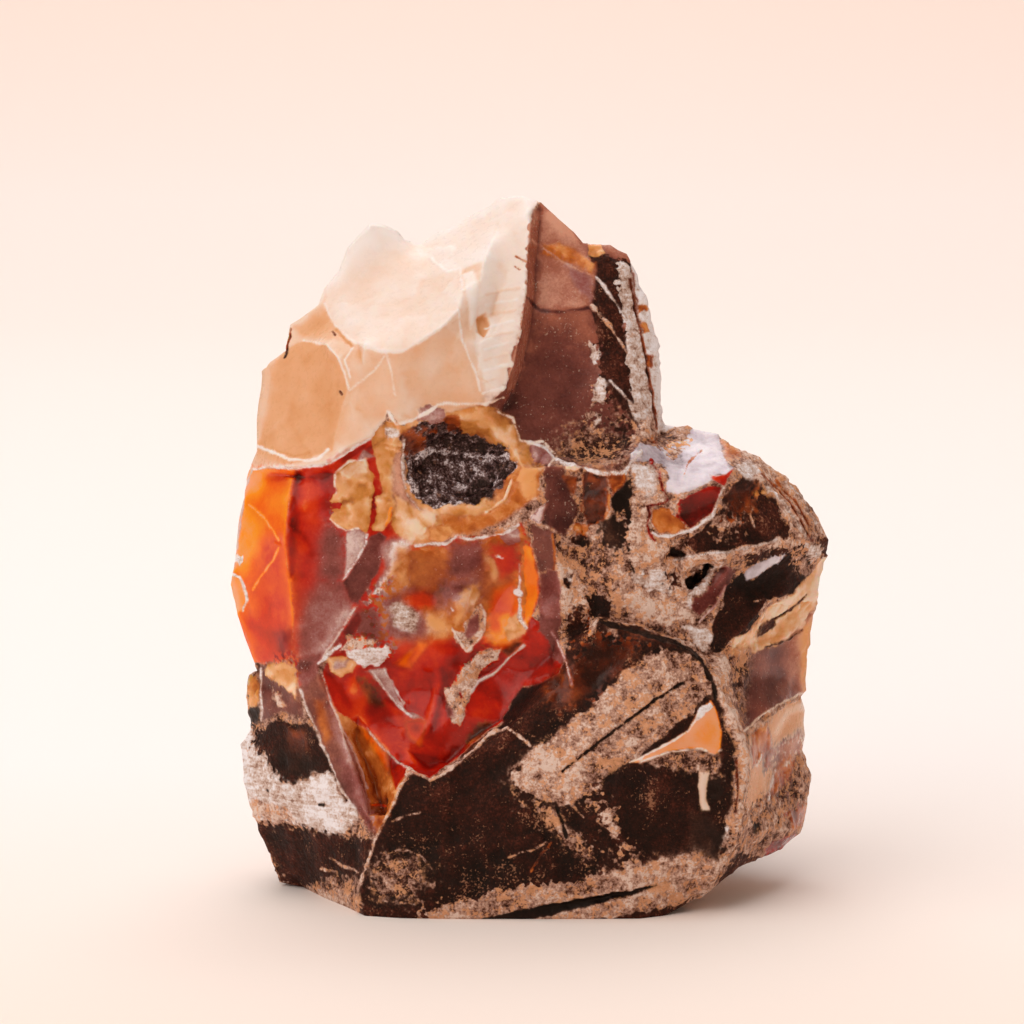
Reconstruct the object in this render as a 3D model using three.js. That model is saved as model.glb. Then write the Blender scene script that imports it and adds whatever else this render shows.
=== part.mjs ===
// A rough fire opal: one natural stone, about 77 mm wide, 55 mm deep and 89 mm tall.
// Its crests, ledges and hollows are drawn as lines of points, and the skin of the stone
// is a film stretched over those lines, roughened where the stone is rough.

import * as THREE from 'three';
import { ImprovedNoise } from 'three/addons/math/ImprovedNoise.js';

// Driving dimensions, in millimetres and degrees
const VIEW_DISTANCE = 533; // from the eye of the front drawing to the stone's front foot
const VIEW_DROP = 7; // degrees that the eye looks down
const EYE_ACROSS = -2.4; // where the eye's axis meets the drawing, from the apex line
const EYE_UP = 50.9; // and above the front foot
const OUTLINE_STEP = 2.2; // longest step along the stone's outline
const CREST_STEP = 2.0; // longest step along a crest or a ledge
const FACE_STEP = 2.5; // spacing of the points inside a face
const LONGEST_EDGE = 3.9; // any longer edge of the skin is halved
const FILM_ROUNDS = 500; // how often the film is relaxed between its lines
const SPLIT_ROUNDS = 50; // and again after each halving of its long edges

// The front drawing: how far across, how far up, and how far behind the front foot
const drop = THREE.MathUtils.degToRad(VIEW_DROP);
const sinDrop = Math.sin(drop);
const cosDrop = Math.cos(drop);

// A point of the drawing, placed in the stone at the given depth behind the front foot
function drawn([across, up, back]) {
  const rise = up - EYE_UP;
  const along = (back - up * sinDrop) / (cosDrop + (rise / VIEW_DISTANCE) * sinDrop);
  const spread = 1 + along / VIEW_DISTANCE;
  const upThere = EYE_UP + rise * spread;
  return new THREE.Vector3(
    EYE_ACROSS + (across - EYE_ACROSS) * spread,
    back,
    upThere * cosDrop - along * sinDrop,
  );
}

// A point given by its true place: across, height above the resting face, depth
function placed([across, height, back]) {
  return new THREE.Vector3(across, back, height);
}

// Where a point of the stone shows on the front drawing
function onDrawing(point) {
  const along = point.y * cosDrop - point.z * sinDrop;
  const spread = 1 + along / VIEW_DISTANCE;
  const upThere = point.y * sinDrop + point.z * cosDrop;
  return {
    u: EYE_ACROSS + (point.x - EYE_ACROSS) / spread,
    v: EYE_UP + (upThere - EYE_UP) / spread,
  };
}

// The outline of the whole stone, clockwise from the apex to the right end of the foot
const OUTLINE_RIGHT = [
  [-1.1, 90.3, 24], [1.1, 89.4, 23], [4, 86.8, 22], [6.5, 84.5, 21.5], [9.9, 84.3, 22],
  [11.8, 83, 22], [13, 80.9, 22], [14.6, 76.1, 21], [15.5, 73.6, 21], [16.1, 67.4, 20],
  [16.1, 63.4, 19], [16.5, 61.4, 20], [19.9, 61.1, 20], [23.4, 60.5, 19], [25.5, 59, 18],
  [28.9, 57.4, 18], [30.9, 55.6, 19], [33.6, 53.9, 20], [35.1, 51.4, 20], [36.9, 47.4, 20],
  [37.3, 46.4, 21], [36.3, 44.6, 22], [35.9, 41.1, 22], [35, 38, 22], [34.9, 33.6, 24],
  [34.3, 28.6, 25], [33.6, 27.8, 25], [34.4, 26.1, 26], [34.4, 23, 26], [33.9, 21.1, 26],
  [35, 18, 27], [34.5, 15.5, 27], [34.1, 12.4, 27], [33.6, 10.9, 26], [31.8, 9.3, 22],
  [28.6, 7.6, 15], [25.5, 6.1, 10], [23, 4, 6.5], [19.9, 2.1, 4],
];

// The front edge of the resting face, from right to left
const FOOT_FRONT = [
  [16.6, 0, 1.8], [13.6, 0, 0.2], [6, 0, 0], [-1.4, 0, 0], [-10.1, 0, 0], [-16.4, 0, 0.5],
  [-20.8, 0, 1.8], [-23.3, 0, 7], [-26.1, 0, 12], [-29.4, 0, 19],
];

// The outline again, from the left end of the foot up to the apex
const OUTLINE_LEFT = [
  [-31.4, 4.6, 20], [-32.9, 8, 19], [-34.1, 11.1, 18], [-35.1, 13.4, 18], [-35.5, 16.1, 18],
  [-36.1, 18.6, 19], [-36.3, 21.8, 20], [-35.1, 23.9, 20], [-35.5, 26.1, 19], [-35.5, 28.6, 18],
  [-35.1, 30.5, 18], [-34.1, 31.1, 17], [-34.5, 32.6, 17], [-35.8, 35.5, 17], [-36.8, 38, 17],
  [-37.4, 41.8, 17], [-36.8, 46.1, 17], [-36.3, 51.1, 17], [-35.5, 54.9, 17], [-34.6, 58.6, 17],
  [-34.4, 62.4, 18], [-33.6, 68.4, 20], [-32.6, 69.6, 20], [-30.8, 71.1, 20], [-30.1, 74.3, 22],
  [-28.9, 75.1, 22], [-26.6, 76.8, 22], [-25.8, 78.9, 23], [-24.1, 80.9, 24], [-23, 83.9, 25],
  [-21.4, 85.8, 26], [-20.1, 87, 27], [-17.4, 87.1, 28], [-15.8, 84.9, 27], [-13.9, 84.5, 28],
  [-11.4, 85.9, 28], [-8.9, 87.1, 28], [-6.4, 88.5, 27], [-3.9, 89.9, 26], [-2.6, 90.3, 25],
];

// Crests, ledges and the feet of steps on the front, as across, up, back
const FRONT_LINES = {
  // The dark brown lower panel, which stands furthest forward
  panelLeftCrest: [
    [-14.9, 18.2, 1.8], [-17, 15.5, 2], [-18.3, 13, 2.2], [-19.9, 8.6, 2.2], [-21.1, 4.9, 2.4],
    [-21.4, 2, 2.2],
  ],
  panelTopLip: [
    [-14.9, 18.2, 1.8], [-12.6, 17.4, 1.5], [-10.8, 18, 1.5], [-7, 20.8, 2], [-3.3, 22.9, 2.5],
    [0.5, 26.6, 3], [3.6, 29.2, 3.5], [4.6, 33, 4], [8.6, 37.1, 4.5], [14.3, 35.3, 4.5],
    [19.3, 33.6, 4.5], [22.4, 30.9, 4.5], [23.4, 28.6, 4.5],
  ],
  panelRightCrest: [
    [23.4, 28.6, 4.5], [25.5, 24.5, 4], [26.8, 21, 4], [26.3, 13.6, 3.5], [25.3, 8.6, 3.5],
    [23, 5.5, 3.5],
  ],
  panelMiddle: [[-8, 13, 0.6], [-1.4, 16.1, 0.2], [8.6, 23, 1], [16.1, 28.2, 2.5]],
  panelBelly: [[-12, 8, 0.2], [-3, 10, -0.6], [8, 13, -0.6], [17, 17, 0.4]],
  footBandTop: [
    [-15.4, 2.4, 0], [-8, 2.8, -0.4], [-1, 4.6, -0.8], [8.6, 6.1, -0.7], [14.3, 7.1, -0.2],
    [19.3, 8.6, 1],
  ],

  // The red hollow above the panel, set back behind its lip
  hollowFoot: [
    [-12.8, 19.4, 6], [-10.6, 19.8, 7], [-7.2, 22.6, 7], [-3.6, 25, 6.5], [-0.4, 28.8, 6],
    [2.2, 31.4, 6.2], [3, 35, 6.5],
  ],
  hollowTopBrow: [
    [-16.4, 46.8, 7.6], [-12.6, 47.6, 7.4], [-9.5, 47.4, 7.4], [-3.9, 47.4, 7.3], [-1.4, 48.8, 7.2],
  ],
  hollowRightBrow: [[-1.4, 48.8, 7.2], [0.2, 46.1, 7.2], [1.2, 41.1, 7], [1.6, 37.4, 6.6]],
  hollowLeaf: [[-6.4, 39.3, 8.4], [-7.4, 33.6, 7.6], [-9.5, 28.6, 7.4], [-10.2, 23.6, 7.2]],
  hollowRedEdge: [[-23, 33.9, 8.8], [-16.4, 33.6, 8], [-12.6, 30, 8.4], [-13, 22.4, 7]],
  litDiagonal: [[-16.4, 46.8, 7.6], [-21.4, 39.3, 8], [-25.1, 34.3, 8.6], [-27.8, 31, 9.4]],

  // The orange window on the left and the red face beside it
  windowCrest: [
    [-29.9, 55, 11], [-30.5, 52.4, 9.8], [-30.8, 47.4, 9.2], [-30.3, 43, 9], [-29.8, 38.6, 9],
    [-29.8, 34.9, 9.6], [-28.7, 31.6, 10.4],
  ],
  redFaceFold: [[-24.4, 54, 8.8], [-22.6, 48, 8], [-22.4, 43, 8.2]],

  // The split wedge and the block at the lower left
  wedgeCrest: [
    [-26.6, 29.9, 8.4], [-23.9, 24.3, 6.2], [-21.4, 16.6, 5], [-19.9, 11, 3.2],
  ],
  wedgeBack: [[-21.8, 22.6, 9], [-19.6, 17, 8.4], [-18.4, 13.6, 5.6]],
  wedgeHollowEdge: [[-24.6, 29.6, 8.8], [-20.4, 24.1, 7.2], [-16.6, 19.6, 5]],
  blockCrest: [[-28.9, 28.6, 9.6], [-26.1, 21.8, 8], [-22.9, 13.8, 6], [-21.6, 9.9, 4]],
  blockBandTop: [[-34.2, 21.1, 16.4], [-30.1, 17.3, 12], [-25.9, 18, 8.2]],
  blockBandFoot: [[-33.6, 12.6, 16], [-30.4, 12.1, 13.4], [-26.4, 11.4, 9.8]],
  blockCorner: [[-33.6, 27, 15], [-30.6, 24, 12]],

  // The cream cap: its lower rim, the foot under that rim, its plates and its fin
  capRim: [
    [-32.4, 56.8, 12.6], [-30.1, 56.5, 9.6], [-26.4, 56.8, 8], [-24.9, 57.4, 7.6],
    [-23, 59, 7.5], [-20, 60.5, 7.5], [-18.3, 62.6, 8], [-15.8, 63.4, 7.6],
  ],
  capFoot: [[-32.2, 55.4, 14.4], [-28, 55.2, 10], [-24.4, 55.7, 9.2], [-21.4, 58, 9], [-18, 60.2, 8.8]],
  plateRim: [
    [-25.8, 77, 21.4], [-24.5, 74.3, 18], [-22.6, 72.4, 13.6], [-20.8, 71.8, 10.6],
    [-18.9, 71, 9.5], [-16.1, 71, 9], [-13.9, 72.3, 9], [-11.4, 73.9, 9.6], [-9.1, 76.1, 11],
    [-8.5, 78.6, 12.8],
  ],
  plateNotch: [[-8.5, 78.6, 12.8], [-10.6, 80.9, 18], [-12.8, 82.6, 23]],
  plateCheek: [
    [-27.6, 73.4, 20.4], [-25.5, 71.8, 14], [-24.1, 70.1, 11.4], [-23.1, 67.4, 10], [-22.6, 64, 9],
  ],
  cheekTick: [[-23.1, 67.4, 10], [-20, 70, 10]],
  capFold: [[-17.9, 70, 9.4], [-17, 66.4, 8.2]],
  capFoldRight: [[-9.1, 75, 10.8], [-8.4, 71, 9.4], [-6.6, 67.4, 8.4]],
  finLeft: [
    [-2.9, 88.8, 24], [-4.3, 86, 20.4], [-5.8, 82.4, 16], [-6.5, 78.6, 13], [-7, 74.6, 11],
    [-6.4, 72, 10],
  ],
  finEdge: [
    [-0.4, 88, 21], [-0.1, 86.4, 19.4], [-0.5, 82.4, 17], [-0.7, 78, 14], [-1.3, 73.6, 11.5],
    [-2.3, 69.3, 9.6], [-3.5, 66.1, 8.6], [-5.5, 64.4, 8.4],
  ],

  // The smoky glass face to the right of the fin, and the rind at its right edge
  glassLeftFoot: [
    [1.1, 87, 22.2], [0.7, 82.4, 20], [0.5, 78, 17.8], [-0.1, 73, 15.4], [-1.1, 68.6, 13.4],
    [-2.5, 65.2, 12], [-3.6, 63.2, 11],
  ],
  glassFoot: [
    [-1.6, 60.6, 10.6], [1.7, 58, 11], [5, 57.6, 11.3], [8.6, 58, 11.6], [12.6, 59.8, 12.6],
  ],
  glassFold: [[1.6, 76.3, 16.8], [3.4, 76, 16.2], [6.6, 76.6, 16.8]],
  rindEdge: [[8.2, 82.4, 20], [7.6, 77.4, 17.6], [8.8, 71.1, 15.4], [10.4, 64.9, 13.8], [12.6, 59.8, 12.6]],
  rindCrest: [[11, 82, 20.2], [11.8, 74.9, 17.8], [12.6, 69.9, 16.2], [14, 62.4, 14.6]],

  // The matrix between the glass and the panel
  matrixFoot: [[5.6, 35.6, 6.8], [8.6, 38.4, 7.2], [14.3, 36.8, 7.2], [19.9, 34.6, 7.4], [23.6, 31.9, 8]],
  matrixLip: [[-0.8, 56, 8.4], [1.8, 56.4, 8.2], [8.6, 56.7, 8.2], [12.8, 58.2, 9.4]],
  matrixColumn: [[1.6, 53, 7.4], [3, 46, 6.2], [4.2, 40, 6]],
  matrixRib: [[9.4, 55, 8], [9.6, 48.6, 6.8], [11.8, 41, 6.4]],
  matrixGroove: [[6.2, 54.4, 9], [6.4, 47, 8.6], [7.4, 42, 7.8]],

  // The shoulder at the right with its agate top, and the facets under it
  shoulderFront: [
    [14, 57.4, 10.4], [16.8, 54.6, 9.2], [18.8, 53.2, 8.6], [21.8, 54.2, 9], [24.9, 56.2, 10.8],
    [28.2, 55, 13.6], [31.8, 51.6, 15], [33.6, 48.6, 15.4],
  ],
  shoulderDip: [[19.8, 48.6, 8.4], [24, 50.4, 9.4], [29, 49.4, 12]],
  veinLip: [[18.6, 44.9, 8.4], [24.3, 45.4, 9], [26.8, 46.4, 10.2], [33.2, 47.6, 15]],
  underVein: [[19, 43.2, 9.8], [24.6, 43.6, 10.6], [28, 44, 12.4], [33, 44.6, 17]],
  bandCrest: [[33.4, 41.6, 17.6], [29.3, 39.3, 13.2], [25.8, 35.6, 10.4]],
  bandFoot: [[33.4, 38.2, 20.4], [28.8, 35.6, 16], [26.6, 33.4, 13.2]],

  // The block at the lower right, set back behind the panel
  blockRightFoot: [
    [25.4, 30.4, 11.4], [27.4, 24.3, 11.4], [28.6, 20, 11.4], [28, 12.8, 10.6], [27.4, 10, 10],
  ],
  blockRightStep: [[28.9, 25.7, 13], [33, 27, 22.6]],
  blockRightSill: [[29, 11.4, 11.6], [32.6, 11.2, 20.6]],
};

// Crests and ledges on the hidden sides, by their true place: across, height, depth
const HIDDEN_LINES = {
  footBack: [
    [16.6, 0, 1.8], [18.4, 0, 8], [19, 0, 18], [17, 0, 29], [11, 0, 39], [2, 0, 43.5],
    [-9, 0, 45], [-19, 0, 42.5], [-27, 0, 36], [-30.4, 0, 28], [-29.4, 0, 19],
  ],
  spineHigh: [
    [-1.5, 85, 33], [-5, 79, 39], [-7, 70, 45.5], [-5, 58, 49], [-8, 44, 51.5], [-8, 39.4, 50.4],
  ],
  spineLow: [[-7, 36, 53.6], [-5, 30, 54.2], [-9, 16, 52], [-10, 7, 49]],
  backLedgeFoot: [[-22, 38.6, 46.6], [-8, 39.4, 50.4], [4, 36.6, 50.8], [14, 32.6, 48.8]],
  backLedgeLip: [[-22.6, 35.6, 47.8], [-7, 36, 53.6], [4, 33.2, 54], [14.4, 29.4, 51]],
  shoulderBack: [
    [17, 59, 27], [16, 56, 35], [13, 51, 43], [16, 42, 49], [21, 32, 49], [19, 18, 46], [14, 7, 43],
  ],
  flankRight: [[29.5, 53.5, 26], [30.5, 48, 34], [29, 38, 40], [31, 28, 37], [30, 17, 37], [22, 7.5, 33]],
  flankRightLow: [[31.6, 33, 30], [33, 24, 32], [31.4, 12, 32], [25, 5.4, 21]],
  sideTie: [[29, 38, 40], [21, 32, 49]],
  shoulderTie: [[30.5, 48, 34], [16, 56, 35]],
  neckRight: [[11.5, 80, 29], [12.5, 72, 31], [13, 65, 29], [17, 59, 27]],
  neckTie: [[12.5, 72, 31], [4, 66, 42], [-5, 58, 49]],
  crownTie: [[11.5, 80, 29], [-1.5, 85, 33], [-14, 80, 35]],
  flankLeft: [
    [-14, 80, 35], [-22, 74, 35], [-28, 65, 33], [-31, 55, 31], [-33, 45, 33], [-32, 35, 37],
    [-33, 25, 33], [-32, 13, 32], [-30, 5, 31],
  ],
  flankLeftBack: [
    [-22, 74, 35], [-21, 62, 42], [-24, 50, 44], [-22, 38.6, 46.6], [-22.6, 35.6, 47.8],
    [-25, 26, 45.4], [-22, 12, 45],
  ],
  leftTieHigh: [[-21, 62, 42], [-7, 70, 45.5]],
  leftTieMiddle: [[-33, 45, 33], [-24, 50, 44], [-8, 44, 51.5]],
  leftTieLow: [[-33, 25, 33], [-25, 26, 45.4], [-9, 16, 52]],
  rightTieLow: [[-5, 30, 54.2], [19, 18, 46], [30, 17, 37]],
};

// Bowl-shaped hollows on the front: middle, half width, half height and depth
const BOWLS = [
  { name: 'crystal eye', across: -9.2, up: 57.2, wide: 6.8, high: 5.6, deep: 4.2 },
  { name: 'upper scoop', across: -3.6, up: 41.6, wide: 5.2, high: 6.6, deep: 2.6 },
  { name: 'upper scoop, left', across: -12.2, up: 42.4, wide: 4.6, high: 5.4, deep: 1.8 },
  { name: 'lower scoop', across: -16.4, up: 27.4, wide: 5.0, high: 6.2, deep: 2.4 },
  { name: 'crescent', across: -3.6, up: 30.4, wide: 5.4, high: 4.0, deep: 1.6 },
  { name: 'cap pocket', across: -5.8, up: 74.4, wide: 2.4, high: 2.2, deep: 1.2 },
  { name: 'cap cheek', across: -27.4, up: 65.0, wide: 5.4, high: 6.6, deep: 0.9 },
  { name: 'plate dish', across: -17.0, up: 78.4, wide: 6.8, high: 5.4, deep: 0.9 },
  { name: 'fin dish', across: -3.6, up: 76.0, wide: 2.8, high: 9.0, deep: 0.9 },
  { name: 'glass dish', across: 4.0, up: 69.4, wide: 5.4, high: 6.0, deep: 1.2 },
  { name: 'panel dish', across: -9.0, up: 9.4, wide: 7.0, high: 4.6, deep: 0.7 },
  { name: 'black hole, left', across: 18.2, up: 45.9, wide: 1.9, high: 1.6, deep: 2.2 },
  { name: 'black hole, right', across: 21.2, up: 42.6, wide: 2.2, high: 1.8, deep: 2.4 },
  { name: 'shoulder dish', across: 28.6, up: 52.0, wide: 4.2, high: 3.2, deep: 1.2 },
  { name: 'lower dark facet', across: 28.4, up: 42.0, wide: 4.4, high: 2.6, deep: 1.2 },
  { name: 'right block glass', across: 31.0, up: 31.4, wide: 3.2, high: 4.6, deep: 1.0 },
  { name: 'right block ochre', across: 31.4, up: 19.6, wide: 2.8, high: 5.0, deep: 1.0 },
];

// Shell-shaped scars on the hidden sides: true middle, radius and depth
const SCARS = [
  { name: 'behind the crown', across: -15, height: 73, back: 40, radius: 9, deep: 1.6 },
  { name: 'upper back, left', across: -14, height: 55, back: 46, radius: 8, deep: 1.4 },
  { name: 'upper back, right', across: 6, height: 57, back: 46, radius: 10, deep: 2.0 },
  { name: 'behind the shoulder', across: 23, height: 46, back: 43, radius: 9, deep: 1.8 },
  { name: 'right flank', across: 32, height: 25, back: 34, radius: 7, deep: 1.3 },
  { name: 'left flank, high', across: -30, height: 62, back: 28, radius: 7, deep: 1.2 },
  { name: 'left flank, low', across: -32, height: 34, back: 30, radius: 8, deep: 1.5 },
  { name: 'lower back, left', across: -16, height: 24, back: 49, radius: 9, deep: 1.8 },
  { name: 'lower back, right', across: 8, height: 18, back: 50, radius: 10, deep: 2.0 },
];

// Smooth broken faces, as centre, half width and half height; the rest of the stone is rough
const SMOOTH_FACES = [
  { name: 'cream cap', across: -15, up: 74, wide: 21, high: 18 },
  { name: 'smoky glass', across: 4, up: 71, wide: 8, high: 15 },
  { name: 'orange window and red face', across: -28, up: 46, wide: 10, high: 13 },
];
const ROUGHNESS = 0.42; // height of the lumps on rough stone
const SMOOTH_SHARE = 0.25; // share of that on a smooth face
const SMOOTH_END = 0.7; // where a smooth face starts to roughen, from its centre
const ROUGH_START = 1.1; // and where it is wholly rough
const LUMP_SIZE = 7; // distance between large lumps
const LUMP_SHARE = 1.2; // their height against the small ones
const GRAIN_SIZE = 3; // distance between small ones
const GRAIN_SHIFT = 31.7; // keeps the two noises apart
const BOWL_RIM = 0.75; // under 1 gives a bowl a sharper rim
const FOOT_CLEAR = 0.01; // points lower than this are the resting face and stay flat
const HIDDEN_START = 25; // depth where the film's loose points start
const FRONT_SEED = 7; // shakes the loose points of the front
const HIDDEN_SEED = 11; // and those of the hidden sides
const JOIN_SHARE = 0.25; // line points nearer than this share of their step are one point
const SHAKE = 0.25; // how far they are shaken, as a share of their spacing
const CLEARANCE = 0.62; // how far they stay from the lines, as a share of it
const OUTLINE_ROUNDS = 8; // most often that the outline gets more steps
const FAR_OUT = 1000; // corners of the first triangle, far outside the stone

// Every step of a line no longer than the given step
function stepped(points, longest, closed = false) {
  const steps = [];
  const count = closed ? points.length : points.length - 1;
  for (let i = 0; i < count; i += 1) {
    const from = points[i];
    const to = points[(i + 1) % points.length];
    const parts = Math.max(1, Math.ceil(from.distanceTo(to) / longest));
    for (let k = 0; k < parts; k += 1) {
      steps.push(from.clone().lerp(to, k / parts));
    }
  }
  if (!closed) steps.push(points[points.length - 1].clone());
  return steps;
}

// A repeatable stream of numbers between 0 and 1
function makeRandom(seed) {
  let state = seed;
  return () => {
    state = (state * 1664525 + 1013904223) % 4294967296;
    return state / 4294967296;
  };
}

function isInside(spot, ring) {
  let inside = false;
  for (let i = 0, j = ring.length - 1; i < ring.length; j = i, i += 1) {
    const a = ring[i];
    const b = ring[j];
    const crosses = a.v > spot.v !== b.v > spot.v;
    if (crosses && spot.u < ((b.u - a.u) * (spot.v - a.v)) / (b.v - a.v) + a.u) inside = !inside;
  }
  return inside;
}

// The circle through three spots, as centre and squared radius
function circleOf(a, b, c) {
  const bu = b.u - a.u;
  const bv = b.v - a.v;
  const cu = c.u - a.u;
  const cv = c.v - a.v;
  const twice = 2 * (bu * cv - bv * cu);
  const bb = bu * bu + bv * bv;
  const cc = cu * cu + cv * cv;
  const u = (cv * bb - bv * cc) / twice;
  const v = (bu * cc - cu * bb) / twice;
  return { u: a.u + u, v: a.v + v, squared: u * u + v * v };
}

// Triangles over flat spots whose circles hold no other spot, added one spot at a time
function triangulate(spots) {
  const around = [{ u: -FAR_OUT, v: -FAR_OUT }, { u: FAR_OUT, v: -FAR_OUT }, { u: 0, v: FAR_OUT }];
  const all = [...spots, ...around];
  const first = spots.length;
  let faces = [{ corners: [first, first + 1, first + 2] }];
  faces[0].circle = circleOf(all[first], all[first + 1], all[first + 2]);
  for (let i = 0; i < spots.length; i += 1) {
    const spot = all[i];
    const kept = [];
    const border = new Map();
    for (const face of faces) {
      const reach = (spot.u - face.circle.u) ** 2 + (spot.v - face.circle.v) ** 2;
      if (reach >= face.circle.squared) {
        kept.push(face);
        continue;
      }
      for (let k = 0; k < 3; k += 1) {
        const from = face.corners[k];
        const to = face.corners[(k + 1) % 3];
        if (!border.delete(`${to},${from}`)) border.set(`${from},${to}`, [from, to]);
      }
    }
    for (const [from, to] of border.values()) {
      const circle = circleOf(all[from], all[to], spot);
      kept.push({ corners: [from, to, i], circle });
    }
    faces = kept;
  }
  return faces.map((face) => face.corners).filter((corners) => corners.every((c) => c < first));
}

// Spots on a slightly shaken triangular lattice inside the outline, clear of the given lines
function faceSpots(ring, taken, seed) {
  const random = makeRandom(seed);
  const shake = FACE_STEP * SHAKE;
  const clear = FACE_STEP * CLEARANCE;
  const spots = [];
  const us = ring.map((spot) => spot.u);
  const vs = ring.map((spot) => spot.v);
  const rowStep = FACE_STEP * Math.sin(Math.PI / 3);
  let row = 0;
  for (let v = Math.min(...vs); v < Math.max(...vs); v += rowStep) {
    row += 1;
    for (let u = Math.min(...us) + (row % 2) * FACE_STEP * 0.5; u < Math.max(...us); u += FACE_STEP) {
      const spot = { u: u + (random() - 0.5) * shake, v: v + (random() - 0.5) * shake };
      const isClear = taken.every((other) => Math.hypot(other.u - spot.u, other.v - spot.v) > clear);
      if (isClear && isInside(spot, ring)) spots.push(spot);
    }
  }
  return spots;
}

// One side of the stone: the outline, its lines and the loose spots between, joined flat
function makeSide(outline, lines, seed) {
  const points = outline.map((point) => point.clone());
  const ring = outline.map(onDrawing);
  const creases = [];
  for (const line of lines) {
    const indices = stepped(line, CREST_STEP).map((point) => {
      const near = points.findIndex((other) => other.distanceTo(point) < CREST_STEP * JOIN_SHARE);
      if (near >= 0) return near;
      points.push(point);
      return points.length - 1;
    });
    for (let i = 1; i < indices.length; i += 1) creases.push([indices[i - 1], indices[i]]);
  }
  const spots = points.map(onDrawing);
  const fixedCount = spots.length;
  spots.push(...faceSpots(ring, spots, seed));
  const faces = triangulate(spots).filter(([a, b, c]) => {
    const middle = {
      u: (spots[a].u + spots[b].u + spots[c].u) / 3,
      v: (spots[a].v + spots[b].v + spots[c].v) / 3,
    };
    return isInside(middle, ring);
  });
  return { points, spots, faces, creases, fixedCount };
}

// Outline steps that a side's triangles don't follow
function missingSteps(side, count) {
  const edges = new Set(side.faces.flatMap(([a, b, c]) => [`${a},${b}`, `${b},${c}`, `${c},${a}`]));
  const missing = [];
  for (let i = 0; i < count; i += 1) {
    const j = (i + 1) % count;
    if (!edges.has(`${i},${j}`) && !edges.has(`${j},${i}`)) missing.push(i);
  }
  return missing;
}

// Both sides on one outline, which gets more steps until both follow it
function makeBothSides() {
  const front = Object.values(FRONT_LINES).map((line) => line.map(drawn));
  const hidden = Object.values(HIDDEN_LINES).map((line) => line.map(placed));
  const corners = [...OUTLINE_RIGHT.map(drawn), ...FOOT_FRONT.map(placed), ...OUTLINE_LEFT.map(drawn)];
  let outline = stepped(corners, OUTLINE_STEP, true);
  for (let round = 0; round < OUTLINE_ROUNDS; round += 1) {
    const sides = [makeSide(outline, front, FRONT_SEED), makeSide(outline, hidden, HIDDEN_SEED)];
    const missing = new Set(sides.flatMap((side) => missingSteps(side, outline.length)));
    if (missing.size === 0) return { outline, sides };
    outline = outline.flatMap((point, i) => {
      if (!missing.has(i)) return [point];
      const next = outline[(i + 1) % outline.length];
      return [point, point.clone().lerp(next, 0.5)];
    });
  }
  throw new Error('the outline is not followed');
}

const edgeKey = (a, b) => (a < b ? `${a},${b}` : `${b},${a}`);

// The two sides sewn into one closed skin; the second side faces away
function sewSides({ outline, sides }) {
  const skin = { points: [], isFixed: [], isFront: [], faces: [], creases: new Set() };
  sides.forEach((side, which) => {
    const indices = side.spots.map((spot, i) => {
      if (i < outline.length && which === 1) return i;
      const isFixed = i < side.fixedCount;
      skin.points.push(isFixed ? side.points[i].clone() : drawn([spot.u, spot.v, HIDDEN_START]));
      skin.isFixed.push(isFixed);
      skin.isFront.push(which === 0);
      return skin.points.length - 1;
    });
    for (const [a, b, c] of side.faces) {
      const turn = (side.spots[b].u - side.spots[a].u) * (side.spots[c].v - side.spots[a].v)
        - (side.spots[b].v - side.spots[a].v) * (side.spots[c].u - side.spots[a].u);
      const isForward = turn > 0 === (which === 0);
      const corners = [indices[a], indices[b], indices[c]];
      skin.faces.push(isForward ? corners : [indices[a], indices[c], indices[b]]);
    }
    for (const [a, b] of side.creases) skin.creases.add(edgeKey(indices[a], indices[b]));
  });
  for (let i = 0; i < outline.length; i += 1) skin.creases.add(edgeKey(i, (i + 1) % outline.length));
  return skin;
}

function neighboursOf(skin) {
  const neighbours = skin.points.map(() => new Set());
  for (const [a, b, c] of skin.faces) {
    neighbours[a].add(b).add(c);
    neighbours[b].add(c).add(a);
    neighbours[c].add(a).add(b);
  }
  return neighbours.map((set) => [...set]);
}

// Every loose point moves to the middle of its neighbours, over and over
function relax(skin, rounds) {
  const neighbours = neighboursOf(skin);
  const middle = new THREE.Vector3();
  for (let round = 0; round < rounds; round += 1) {
    skin.points.forEach((point, i) => {
      if (skin.isFixed[i]) return;
      middle.set(0, 0, 0);
      for (const other of neighbours[i]) middle.add(skin.points[other]);
      point.copy(middle.divideScalar(neighbours[i].length));
    });
  }
}

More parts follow.
